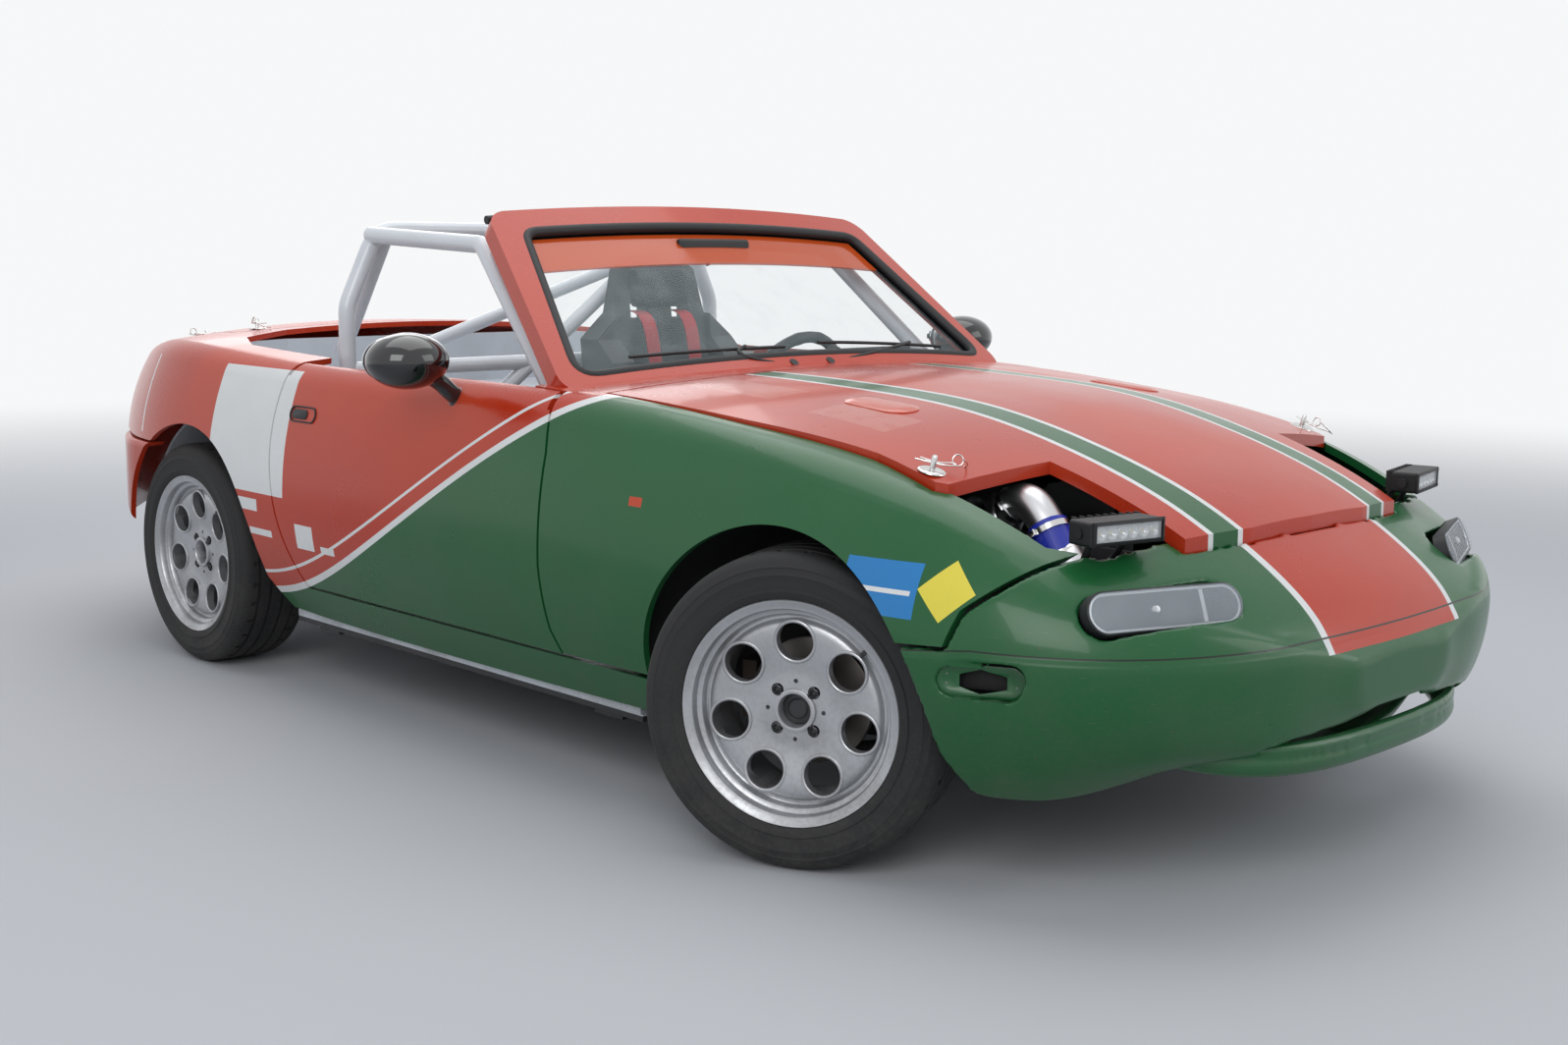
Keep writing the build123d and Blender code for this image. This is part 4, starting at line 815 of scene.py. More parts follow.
discOutline = ((0.029, -0.036), (0.064, -0.036), (0.066, -0.034), (0.066, 0.0215), (0.112, 0.0215),
               (0.118, 0.0225),
               (0.118, 0.0285), (0.110, 0.0290), (0.110, 0.0350), (0.118, 0.0355), (0.118, 0.0415),
               (0.112, 0.0425),
               (0.050, 0.0425), (0.050, 0.0240), (0.029, 0.0240), (0.029, -0.036))
tyreMaster = makeTyre(tyreValues)
rimMaster = makeRim(rimValues)
nutMaster = makeNuts()
discMaster = lathe("discMaster", discOutline, 96)
wheelPlaces = {"front_left": ((1.1382, 0.7207, 0.293), 204), "front_right": ((1.1788, -0.7207, 0.293), 24),
               "rear_left": ((-1.0565, 0.712, 0.293), 180), "rear_right": ((-1.0565, -0.712, 0.293), 0)}
for corner, (centre, turn) in wheelPlaces.items():
    matrix = shiftBy(centre) @ rotated(radians(turn), "Z")
    body = "wheel_" + corner
    finishPiece(copyPiece(tyreMaster, "treadedTyre_" + corner, matrix), body, "tyreRubber",
                angle=32, replaces=("tyre_" + corner,))
    finishPiece(copyPiece(rimMaster, "castRim_" + corner, matrix), body, "alloy", angle=34,
                replaces=("rim_" + corner,))
    finishPiece(copyPiece(nutMaster, "wheelNuts_" + corner, matrix), body, "darkSteel", angle=25)
    finishPiece(copyPiece(discMaster, "brakeDisc_" + corner, matrix), body, "discIron", angle=30)
for master in (tyreMaster, rimMaster, nutMaster, discMaster):
    bpy.data.objects.remove(master)
print("wheels done")


# Oval lamps: local X along the lamp, Z out of its face
def pill(name, length, height, low, high, corners=48):
    piece = startPiece(name, bpy.ops.mesh.primitive_circle_add, vertices=corners, radius=height / 2,
                       fill_type="NGON",
                       location=(0, 0, low))
    reach = (length - height) / 2
    movePart(piece, (reach, 0, 0), lambda place: place.x > 0.0001)
    movePart(piece, (-reach, 0, 0), lambda place: place.x < -0.0001)
    pick(piece, "VERT", lambda place: True)
    bpy.ops.mesh.select_all(action="SELECT")
    push((0, 0, high - low))
    bpy.ops.mesh.select_all(action="SELECT")
    bpy.ops.mesh.normals_make_consistent(inside=False)
    leaveEdit()
    return piece


def stepTop(piece, steps):  # insets the top face and moves it, once for each (inset, move)
    top = max(vertex.co.z for vertex in piece.data.vertices)
    pick(piece, "FACE", lambda place, normal: place.z > top - 0.0001 and normal.z > 0.9)
    for thickness, move in steps:
        bpy.ops.mesh.inset(thickness=thickness)
        bpy.ops.transform.translate(value=(0, 0, move))
    leaveEdit()


def faceMatrix(place, turn, lean, side):  # turn outwards and lean up, in degrees, mirrored on the right
    yaw, pitch = radians(turn) * side, radians(lean)
    facing = Vector((cos(yaw) * cos(pitch), sin(yaw) * cos(pitch), sin(pitch)))
    along = Vector((-sin(yaw), cos(yaw), 0))
    upward = facing.cross(along)
    turned = Matrix((along, upward, facing)).transposed().to_4x4()
    return shiftBy((atX(place[0]), place[1] * side, place[2])) @ turned


turnLampValues = {"place": (0.600, 0.520, 0.537), "turn": 20.0, "lean": 24, "length": 0.310, "height": 0.076}
for sideName, side in sides:
    values = turnLampValues
    matrix = faceMatrix(values["place"], values["turn"], values["lean"], side)
    gasket = pill("lampGasket", values["length"] - 0.001, values["height"] - 0.001, -0.020, 0.0030)
    stepTop(gasket, ((0.0022, 0.0015), (0.0022, -0.004)))
    finishPiece(placeWith(gasket, matrix), "chassis", "rubber").name = "lampGasket_" + sideName
    bowl = pill("lampBowl", values["length"] - 0.010, values["height"] - 0.010, -0.0125, 0.0030)
    stepTop(bowl, ((0.004, -0.001), (0.003, -0.011)))
    bar = block("lampBar", (-side * 0.075 - 0.004, -0.028, -0.010), (-side * 0.075 + 0.004, 0.028, 0.0025))
    bulb = lathe("lampBulb", ((0.0, 0.010), (0.006, 0.009), (0.010, 0.004), (0.0105, -0.004), (0.008, -0.010),
                              (0.0, -0.010)), 24)
    placeWith(bulb, shiftBy((side * 0.02, 0, -0.004)) @ rotated(pi / 2, "X"))
    bowl = joinPieces("lampBowl_" + sideName, [bowl, bar, bulb])
    finishPiece(placeWith(bowl, matrix), "chassis", "reflector")
    lens = pill("lampLens", values["length"] - 0.007, values["height"] - 0.007, 0.0032, 0.0075)
    stepTop(lens, ((0.0030, 0.0018), (0.0050, 0.0012), (0.0080, 0.0008)))
    names = ("turn_lamps",) if side > 0 else ()
    finishPiece(placeWith(lens, matrix), "chassis", "ribbedLens", replaces=names
                ).name = "lampLens_" + sideName
print("turn lamps done")

# Light bars: six lights, glass, fins and clamps on the CAD housing
lightBarValues = {"place": (0.503, 0.521, 0.657), "turn": 12, "length": 0.160, "lights": 6}
for sideName, side in sides:
    values = lightBarValues
    matrix = faceMatrix(values["place"], values["turn"], 0, side)
    matrix = matrix @ shiftBy((0, 0, -0.028))
    lights = []
    chips = []
    for index in range(values["lights"]):
        across = (index - 2.5) * 0.0235
        cup = lathe("lightCup", ((0.0035, 0.0), (0.0070, -0.0040), (0.0108, -0.0068), (0.0113, -0.0062),
                                 (0.0113, 0.0)),
                    24)
        placeWith(cup, shiftBy((across, 0, 0.0445)) @ rotated(-pi / 2, "X"))
        lights.append(cup)
        chips.append(block("lightChip", (across - 0.003, -0.003, 0.0445), (across + 0.003, 0.003, 0.0462),
                           0.0005))
    finishPiece(placeWith(joinPieces("lightCups_" + sideName, lights), matrix), "chassis", "reflector")
    finishPiece(placeWith(joinPieces("lightChips_" + sideName, chips), matrix), "chassis", "chipYellow")
    glass = block("lightGlass_" + sideName, (-0.072, -0.0145, 0.0515), (0.072, 0.0145, 0.0535), 0.0008)
    finishPiece(placeWith(glass, matrix), "chassis", "lampClear")
    bezel = block("lightBezel", (-0.080, -0.021, 0.0500), (0.080, 0.021, 0.0545), 0.0015)
    pick(bezel, "FACE", lambda place, normal: normal.z > 0.9)
    bpy.ops.mesh.inset(thickness=0.0055)
    push((0, 0, -0.0046))
    bpy.ops.mesh.delete(type="FACE")
    leaveEdit()
    pick(bezel, "FACE", lambda place, normal: normal.z < -0.9 and abs(place.x) < 0.05)
    bpy.ops.mesh.inset(thickness=0.0055)
    bpy.ops.mesh.delete(type="FACE")
    leaveEdit()
    fins = [bezel]
    for index in range(9):
        across = (index - 4) * 0.0175
        fins.append(block("lightFin", (across - 0.0016, -0.0200, -0.0120), (across + 0.0016, 0.0225, 0.0020)))
    for across in (-0.0845, 0.0845):
        fins.append(rodBetween("lightBolt", (across - 0.004, 0, 0.024), (across + 0.004, 0, 0.024), 0.0095, 18))
    finishPiece(placeWith(joinPieces("lightFins_" + sideName, fins), matrix), "chassis", "lampHousing")
print("light bars done")

# Nose cover: the CAD shell with a rounded tip, lower lip and side recesses
markerValues = {"place": (0.3970, 0.748, 0.411), "turn": 62, "length": 0.148, "height": 0.050}


def copyNode(node, name):
    piece = copyPiece(nodes[node], name)
    piece.animation_data_clear()
    pick(piece, "VERT", lambda place: True)
    bpy.ops.mesh.remove_doubles(threshold=0.00005)
    leaveEdit()
    return piece


def noseReach(y):  # how far forward the nose stands at this distance from the middle
    y = abs(y)
    return 1.9740 - 0.18 * y ** 2 - 2.05 * y ** 4 * (1 + 1.1 * y)


def makeNose():
    nose = copyNode("front_cover", "noseCover")
    applyModifier(nose, "REMESH", mode="VOXEL", voxel_size=0.005)
    for sideName, side in sides:
        pocket = pill("markerPocket", markerValues["length"], markerValues["height"], -0.030, 0.030)
        placeWith(pocket, faceMatrix(markerValues["place"], markerValues["turn"], 0, side))
        carve(nose, pocket)
    applyModifier(nose, "SMOOTH", factor=0.5, iterations=8)
    group = nose.vertex_groups.new(name="tip")  # the blunt tip is rubbed down further
    group.add([vertex.index for vertex in nose.data.vertices if vertex.co.x > 1.925], 1.0, "REPLACE")
    applyModifier(nose, "SMOOTH", factor=0.5, iterations=50, vertex_group="tip")
    applyModifier(nose, "DECIMATE", ratio=0.45)
    return nose


nose = makeNose()
finishPiece(nose, "chassis", "nosePaint", angle=60, replaces=("front_cover",))

lipValues = {"half": 0.510, "cornerZ": 0.326, "lowZ": 0.290, "lip": 0.014, "chin": 0.023}


def lipPoint(share, low):
    y = share * (lipValues["half"] + 0.012)
    rise = lipValues["cornerZ"] - lipValues["lowZ"] + low * 0.55
    z = lipValues["lowZ"] - low + rise * abs(share) ** 7
    return (noseReach(y) - 0.016 - low * 0.35, y, z)


def makeLip():
    shares = [index / 14 for index in range(-14, 15)]
    upper = tube("lipUpper", [lipPoint(share, 0.013) for share in shares], lipValues["lip"], sides=6)
    chin = tube("lipChin", [lipPoint(share * 0.97, 0.040) for share in shares], lipValues["chin"], sides=6)
    lip = joinPieces("mouthLip", [upper, chin])
    applyModifier(lip, "REMESH", mode="VOXEL", voxel_size=0.005)
    applyModifier(lip, "SMOOTH", factor=0.6, iterations=9)
    return lip


finishPiece(makeLip(), "chassis", "greenPaint", angle=60)

# Cooler behind the mouth: horizontal tubes with folded fins and the grey bracket
coolerValues = {"rows": 5, "half": 0.250, "low": 0.268, "pitch": 0.0245, "front": 1.742}
tubes = []
for row in range(coolerValues["rows"]):
    z = coolerValues["low"] + row * coolerValues["pitch"]
    tubes.append(block("coolerTube", (coolerValues["front"] - 0.03, -coolerValues["half"], z - 0.0035),
                       (coolerValues["front"] + 0.004, coolerValues["half"], z + 0.0035), 0.0025))
finishPiece(joinPieces("coolerTubes", tubes), "chassis", "coolerMetal")
fins = []
for row in range(coolerValues["rows"] - 1):
    z = coolerValues["low"] + row * coolerValues["pitch"]
    for index in range(50):
        y = -0.245 + index * 0.010
        fin = block("coolerFin", (coolerValues["front"] - 0.012, y - 0.0004, z + 0.0035),
                    (coolerValues["front"] - 0.001, y + 0.0004, z + coolerValues["pitch"] - 0.0035))
        fins.append(fin)
finishPiece(joinPieces("coolerFins", fins), "chassis", "coolerDark")
bracket = [block("coolerBracket", (1.80, -0.420, 0.300), (1.806, -0.262, 0.375), 0.002),
           block("coolerBracketTop", (1.70, -0.420, 0.372), (1.806, 0.300, 0.378), 0.002),
           block("coolerBracketSide", (1.80, 0.255, 0.300), (1.806, 0.300, 0.375), 0.002)]
finishPiece(joinPieces("coolerBracket", bracket), "chassis", "bracketGrey")

# Empty side marker recess with its cut opening
for sideName, side in sides:
    values = markerValues
    matrix = faceMatrix(values["place"], values["turn"], 0, side)
    recess = pill("markerRecess_" + sideName, values["length"] + 0.006, values["height"] + 0.006, -0.013,
                  -0.0090)
    stepTop(recess, ((0.0120, -0.0006), (0.0020, -0.0014)))
    cutter = startPiece("markerCutter", bpy.ops.mesh.primitive_cylinder_add, vertices=6, radius=0.021,
                        depth=0.06)
    movePart(cutter, (0.026, 0, 0), lambda place: place.x > 0.0001)
    movePart(cutter, (-0.018, 0, 0), lambda place: place.x < -0.0001)
    carve(recess, cutter)
    finishPiece(placeWith(recess, matrix), "chassis", "greenPaint", bevel=0.0006)
    backing = pill("markerDark_" + sideName, values["length"] - 0.02, values["height"] - 0.012, -0.040, -0.036)
    stepTop(backing, ((0.002, 0.001),))
    finishPiece(placeWith(backing, matrix), "chassis", "underbody")
    screws = []
    for across in (-0.062, 0.064):
        for up in (-0.006, 0.010):
            screw = lathe("markerScrew", ((0.0, -0.0016), (0.0020, -0.0014), (0.0030, 0.0), (0.0, 0.0005)), 12)
            placeWith(screw, shiftBy((across * 0.94, up, -0.0112)) @ rotated(pi / 2, "X"))
            screws.append(screw)
    finishPiece(placeWith(joinPieces("markerScrews_" + sideName, screws), matrix), "chassis", "steel")
print("nose done")

# Door mirrors: smooth shell, glass and stalk
mirrorValues = {"centre": (-1.050, 0.905, 0.872), "front": 0.078, "half": (0.092, 0.060),
                "foot": (-1.062, 0.765, 0.782)}
for sideName, side in sides:
    values = mirrorValues
    body = "door_" + sideName
    centre = Vector((atX(values["centre"][0]), values["centre"][1] * side, values["centre"][2]))
    shell = startPiece("mirrorShell_" + sideName, bpy.ops.mesh.primitive_uv_sphere_add, segments=48,
                       ring_count=28,
                       radius=1)
    resizePiece(shell, (values["front"], *values["half"]))
    pick(shell, "VERT", lambda place: True)
    bpy.ops.mesh.bisect(plane_co=(-0.030, 0, 0), plane_no=(1, 0, 0), clear_inner=True, use_fill=True)
    leaveEdit()
    pick(shell, "FACE", lambda place, normal: place.x < -0.0295 and abs(normal.x) > 0.95)
    push((-0.028, 0, 0))
    bpy.ops.mesh.inset(thickness=0.0035)
    push((0.007, 0, 0))
    leaveEdit()
    tidyMesh(shell)
    foot = Vector((atX(values["foot"][0]), values["foot"][1] * side, values["foot"][2]))
    under = centre + Vector((-0.012, -0.052 * side, -0.030))
    neck = tube("mirrorNeck", [under, under * 0.7 + foot * 0.3 + Vector((0, -0.006 * side, 0.004)),
                               under * 0.3 + foot * 0.7, foot], 0.0195, sides=5)
    base = lathe("mirrorBase", ((0.0, -0.018), (0.020, -0.017), (0.027, -0.010), (0.0335, -0.001),
                                (0.034, 0.006),
                                (0.0, 0.006)), 32)
    aim = (under - foot).normalized()
    placeWith(base, shiftBy(foot) @ aimed(-aim))
    shell = joinPieces("mirrorShell_" + sideName, [placeWith(shell, shiftBy(centre)), neck, base])
    finishPiece(shell, body, "mirrorShell", angle=40, replaces=("door_mirror_" + sideName,))
    glass = startPiece("mirrorGlass_" + sideName, bpy.ops.mesh.primitive_cylinder_add, vertices=48, radius=1,
                       depth=0.003)
    resizePiece(glass, (values["half"][1] * 0.84, values["half"][0] * 0.84, 1))
    pick(glass, "FACE", lambda place, normal: normal.z > 0.9)
    bpy.ops.mesh.inset(thickness=0.002)
    bpy.ops.transform.translate(value=(0, 0, 0.0006))
    leaveEdit()
    placeWith(glass, shiftBy(centre + Vector((-0.0515, 0, 0))) @ rotated(-pi / 2, "Y"))
    finishPiece(glass, body, "mirrorGlass")
print("mirrors done")

# Windscreen: rubber surround on the bowed glass, header seal and wipers
screenValues = {"foot": (-0.735, 0.832), "rise": 0.368, "run": 0.452, "bow": 6.0, "rubber": 0.0125}
screenLength = sqrt(screenValues["rise"] ** 2 + screenValues["run"] ** 2)
screenUp = Vector((-screenValues["run"], 0, screenValues["rise"])) / screenLength
screenOut = Vector((screenValues["rise"], 0, screenValues["run"])) / screenLength


def onScreen(across, up, lift=0.0):
    bowed = sqrt(screenValues["bow"] ** 2 - across ** 2) - screenValues["bow"] + lift
    foot = Vector((atX(screenValues["foot"][0]), 0, screenValues["foot"][1]))
    return foot + screenUp * up + screenOut * bowed + Vector((0, across, 0))


def roundedOutline(corners, radius, steps=7):
    points = []
    count = len(corners)
    for index in range(count):
        corner = Vector(corners[index])
        before = (Vector(corners[index - 1]) - corner).normalized()
        after = (Vector(corners[(index + 1) % count]) - corner).normalized()
        reach = radius / tan(before.angle(after) / 2)
        start, end = corner + before * reach, corner + after * reach
        for step in range(steps + 1):
            share = step / steps
            points.append(start * (1 - share) ** 2 + corner * 2 * share * (1 - share) + end * share ** 2)
    return points


glassCorners = ((-0.662, 0.042), (0.662, 0.042), (0.537, 0.508), (-0.537, 0.508))
line = []
outline = roundedOutline(glassCorners, 0.048)
for index, point in enumerate(outline):
    after = outline[(index + 1) % len(outline)]
    pieces = max(1, int((after - point).length / 0.05))
    for step in range(pieces):
        middle = point.lerp(after, step / pieces)
        line.append(onScreen(middle.x, middle.y, 0.0120))
rubber = tube("screenRubber", line, screenValues["rubber"], closed=True, poly=True)
finishPiece(rubber, "chassis", "rubber", angle=60)
seal = tube("headerSeal", [onScreen(-0.59 + 1.18 * index / 16, 0.578, -0.004) for index in range(17)], 0.010)
finishPiece(seal, "chassis", "rubber", angle=60)
for name, start, end in (("wiperLeft", 0.05, 0.52), ("wiperRight", -0.52, -0.05)):
    spindle = onScreen(start if start > 0 else end - 0.02, 0.012, 0.012)
    arm = tube("wiperArm", [spindle, onScreen((start + end) / 2, 0.040, 0.030),
                            onScreen((start + end) / 2 + 0.11, 0.078, 0.018)], 0.0042)
    blade = tube("wiperBlade", [onScreen(start + 0.02, 0.085, 0.012), onScreen((start + end) / 2, 0.080, 0.014),
                                onScreen(end, 0.074, 0.012)], 0.0040)
    boss = rodBetween("wiperBoss", spindle - screenOut * 0.03, spindle + screenOut * 0.010, 0.011)
    finishPiece(joinPieces(name, [arm, blade, boss]), "chassis", "blackPlastic", angle=50)
mirrorStem = tube("insideMirrorStem", [onScreen(0, 0.50, -0.006), onScreen(0, 0.47, -0.035),
                                       onScreen(0, 0.44, -0.05)],
                  0.006)
mirrorBack = block("insideMirror", (atX(-1.09) - 0.012, -0.115, 1.080), (atX(-1.09) + 0.012, 0.115, 1.135),
                   0.010)
finishPiece(joinPieces("insideMirror", [mirrorStem, mirrorBack]), "chassis", "blackPlastic")
print("windscreen done")

# Bonnet and deck pins: plate, post, hairpin and lanyard
def makePin(name, place, body, lean, twist):
    base = shiftBy(place) @ rotated(radians(lean), "Y") @ rotated(radians(twist), "Z")
    plate = lathe("pinPlate", ((0.0, -0.0026), (0.012, -0.0026), (0.0145, -0.0034), (0.0225, -0.0030),
                               (0.0255, -0.0012),
                               (0.026, 0.0), (0.0, 0.0)), 36)
    placeWith(plate, rotated(-pi / 2, "X"))
    post = lathe("pinPost", ((0.0, -0.030), (0.0035, -0.0295), (0.0055, -0.026), (0.0055, 0.004), (0.0, 0.004)),
                 20)
    placeWith(post, rotated(-pi / 2, "X"))
    hair = tube("hairpin", [(-0.034, 0.0, 0.0155), (-0.010, 0.0, 0.0155), (0.018, 0.0, 0.0155),
                            (0.034, 0.004, 0.0160),
                            (0.040, 0.012, 0.0180), (0.032, 0.019, 0.0175), (0.020, 0.014, 0.0160),
                            (0.008, 0.0085, 0.0155), (0.0, 0.0075, 0.0155), (-0.010, 0.0095, 0.0155),
                            (-0.026, 0.014, 0.0160)], 0.0015, sides=3)
    ring = startPiece("pinRing", bpy.ops.mesh.primitive_torus_add, major_radius=0.010, minor_radius=0.0013,
                      major_segments=28, minor_segments=8, location=(0.040, 0.012, 0.026),
                      rotation=(pi / 2.4, 0, 0.4))
    pin = joinPieces(name, [plate, post, hair, ring])
    finishPiece(placeWith(pin, base), body, "polished", angle=40)
    lanyard = tube(name + "Lanyard", [(0.048, 0.014, 0.030), (0.060, 0.030, 0.020), (0.052, 0.050, 0.006),
                                      (0.030, 0.060, 0.0035), (0.010, 0.052, 0.0035), (0.0, 0.036, 0.004)],
                   0.0014,
                   sides=3)
    finishPiece(placeWith(lanyard, base), body, "polished")


for sideName, side in sides:
    makePin("bonnetPin_" + sideName, (atX(0.176), 0.625 * side, 0.7335), "bonnet", 14, -35 * side)
    makePin("deckPinFront_" + sideName, (atX(-2.528), 0.45 * side, 0.8695), "boot_lid", -3, 60 * side)
    makePin("deckPinRear_" + sideName, (atX(-2.985), 0.37 * side, 0.8175), "boot_lid", -19, 110 * side)
print("pins done")

# Hoses, clamps and the blue coupler in the lamp pits
hoseRadius = 0.026
coupler = tube("blueCoupler", inCar((0.302, -0.4535, 0.634), (0.326, -0.459, 0.604), (0.352, -0.466, 0.570)),
               0.0375, sides=6)
finishPiece(coupler, "chassis", "blueSilicone", angle=50)
elbow = tube("intakeElbow", inCar((0.170, -0.435, 0.560), (0.195, -0.442, 0.640), (0.235, -0.447, 0.676),
                             (0.280, -0.450, 0.662), (0.310, -0.455, 0.624)), 0.0335, sides=6)
volute = startPiece("boosterHousing", bpy.ops.mesh.primitive_torus_add, major_radius=0.040, minor_radius=0.024,
                    major_segments=40, minor_segments=18)
placeWith(volute, shiftBy((atX(0.150), -0.455, 0.640)) @ rotated(radians(70), "X"))
elbow = joinPieces("intakeElbow", [elbow, volute])
finishPiece(elbow, "chassis", "bareAlloy", angle=50)
blackHose = tube("blackHose_right", inCar((0.180, -0.440, 0.500), (0.230, -0.500, 0.585),
                                          (0.300, -0.530, 0.600),
                                     (0.340, -0.560, 0.560), (0.330, -0.570, 0.470)), hoseRadius)
leftHose = tube("blackHose_left", inCar((0.200, 0.430, 0.480), (0.250, 0.480, 0.570), (0.320, 0.530, 0.590),
                                   (0.370, 0.545, 0.540), (0.380, 0.540, 0.450)), hoseRadius)
finishPiece(blackHose, "chassis", "rubber", angle=50)
finishPiece(leftHose, "chassis", "rubber", angle=50)
clampPlaces = (((0.311, -0.4555, 0.623), (0.6, -0.1, -0.75), 0.0398),
               ((0.344, -0.464, 0.580), (0.6, -0.1, -0.8), 0.0398),
               ((0.215, -0.445, 0.660), (0.7, 0.0, 0.5), 0.0350),
               ((0.330, -0.553, 0.585), (0.4, -0.3, -0.6), 0.0275),
               ((0.300, -0.528, 0.598), (0.9, -0.3, 0.1), 0.0275),
               ((0.330, 0.535, 0.585), (0.8, 0.3, -0.4), 0.0275))
clamps = []
for place, aim, radius in clampPlaces:
    clamp = lathe("hoseClamp", ((radius - 0.002, -0.0055), (radius + 0.0008, -0.0055),
                                (radius + 0.0008, 0.0055),
                                (radius - 0.002, 0.0055), (radius - 0.002, -0.0055)), 40)
    screw = block("clampScrew", (radius - 0.001, -0.006, -0.009), (radius + 0.008, 0.006, 0.009), 0.001)
    clamp = joinPieces("hoseClamp", [clamp, screw])
    clamps.append(placeWith(clamp, shiftBy(inCar(place)[0]) @ aimed(Vector(aim).normalized())))
finishPiece(joinPieces("hoseClamps", clamps), "chassis", "polished")
print("pit pieces done")

# Seat pads, blown up a little as cloth and held near their first shape
seatValues = {"centreY": 0.345, "voxel": 0.006, "pressure": 4.0, "cap": 0.010}


def makePad(name, size, matrix, channels=()):
    pad = startPiece(name, bpy.ops.mesh.primitive_cube_add, size=1, scale=size)
    for axis, place in channels:
        pick(pad, "VERT", lambda where: True)
        bpy.ops.mesh.bisect(plane_co=tuple(place if i == axis else 0 for i in range(3)),
                            plane_no=tuple(1 if i == axis else 0 for i in range(3)))
        leaveEdit()
    applyModifier(pad, "BEVEL", width=min(size) * 0.34, segments=4, limit_method="ANGLE",
                  angle_limit=radians(40))
    placeWith(pad, matrix)
    applyModifier(pad, "REMESH", mode="VOXEL", voxel_size=seatValues["voxel"])
    start = [vertex.co.copy() for vertex in pad.data.vertices]
    chooseOnly(pad)
    cloth = pad.modifiers.new("cloth", "CLOTH")
    cloth.settings.use_pressure = True
    cloth.settings.uniform_pressure_force = seatValues["pressure"]
    cloth.settings.effector_weights.gravity = 0
    cloth.settings.quality = 4
    for step in range(1, 21):
        bpy.context.scene.frame_set(step)
    bpy.ops.object.modifier_apply(modifier="cloth")
    bpy.context.scene.frame_set(1)
    for vertex, before in zip(pad.data.vertices, start):
        moved = vertex.co - before
        if moved.length > seatValues["cap"]:
            vertex.co = before + moved.normalized() * seatValues["cap"]
    for axis, place in channels:  # sewn channels pressed into the blown shape
        inverse = matrix.inverted()
        for vertex in pad.data.vertices:
            local = inverse @ vertex.co
            near = abs(local[axis] - place)
            if near < 0.014:
                pull = 0.006 * (1 - near / 0.014) ** 1.5
                vertex.co -= matrix.to_3x3() @ Vector((0, 0, pull if local.z > 0 else 0))
    applyModifier(pad, "SUBSURF", levels=1, render_levels=1)
    finishPiece(pad, "chassis", "seatCloth", angle=80)
    return pad


centreY = seatValues["centreY"]
makePad("seatCushion", (0.375, 0.305, 0.062),
        shiftBy((atX(-1.365), centreY, 0.322)) @ rotated(radians(4), "Y"),
        channels=((0, -0.06), (0, 0.06)))
backTurn = rotated(radians(90 - 7.5), "Y")
makePad("backCushion", (0.500, 0.290, 0.046), shiftBy((atX(-1.632), centreY, 0.600)) @ backTurn,
        channels=((0, -0.12), (0, 0.0), (0, 0.12)))
makePad("headCushion", (0.110, 0.200, 0.036), shiftBy((atX(-1.6995), centreY, 1.000)) @ backTurn)
for sideName, side in sides:
    makePad("sideCushion_" + sideName, (0.280, 0.085, 0.030),
            shiftBy((atX(-1.560), centreY + side * 0.150, 0.600)) @ rotated(radians(8), "Y")
            @ rotated(radians(90), "X") @ rotated(radians(90), "Z"))
print("seat pads done")

# Harness: shoulder, lap and lower straps with a turn buckle
harnessPieces = []
for sideName, side in sides:
    y = centreY + side * 0.075
    line = inCar((-1.770, y, 0.930), (-1.715, y, 0.938), (-1.668, y, 0.930), (-1.640, y, 0.885),
            (-1.622, y, 0.780), (-1.600, y - side * 0.010, 0.640), (-1.575, y - side * 0.030, 0.530),
            (-1.545, y - side * 0.052, 0.455), (-1.520, y - side * 0.060, 0.425))
    harnessPieces.append(ribbon("shoulderStrap", line, (0, 1, 0), 0.046, 0.0028))
    lap = inCar((-1.585, centreY + side * 0.150, 0.345), (-1.560, centreY + side * 0.140, 0.385),
           (-1.540, centreY + side * 0.105, 0.410), (-1.522, centreY + side * 0.060, 0.416),
           (-1.514, centreY + side * 0.022, 0.414))
    harnessPieces.append(ribbon("lapStrap", lap, (0.35, 0, 0.94), 0.046, 0.0028))
lower = inCar((-1.345, centreY, 0.366), (-1.400, centreY, 0.378), (-1.455, centreY, 0.392),
         (-1.500, centreY, 0.408))
harnessPieces.append(ribbon("lowerStrap", lower, (0, 1, 0), 0.044, 0.0028))
finishPiece(joinPieces("harnessStraps", harnessPieces), "chassis", "harnessRed", angle=60,
            replaces=("harness",))
buckle = lathe("harnessBuckle", ((0.0, -0.022), (0.018, -0.022), (0.020, -0.019), (0.021, -0.015),
                                 (0.031, -0.014),
                                 (0.033, -0.010), (0.033, 0.0), (0.0, 0.0)), 40)
tongue = block("buckleTongue", (-0.038, -0.008, -0.010), (0.038, -0.003, 0.010), 0.0015)
buckle = joinPieces("harnessBuckle", [buckle, tongue])
finishPiece(placeWith(buckle, shiftBy((atX(-1.508), centreY, 0.424)) @ aimed((-0.80, 0, -0.60))), "chassis",
            "polished")
adjusters = []
for side in (1, -1):
    adjusters.append(block("strapAdjuster", (atX(-1.617), centreY + side * 0.068 - 0.028, 0.690),
                           (atX(-1.603), centreY + side * 0.068 + 0.028, 0.712), 0.002))
finishPiece(joinPieces("strapAdjusters", adjusters), "chassis", "steel")
print("harness done")

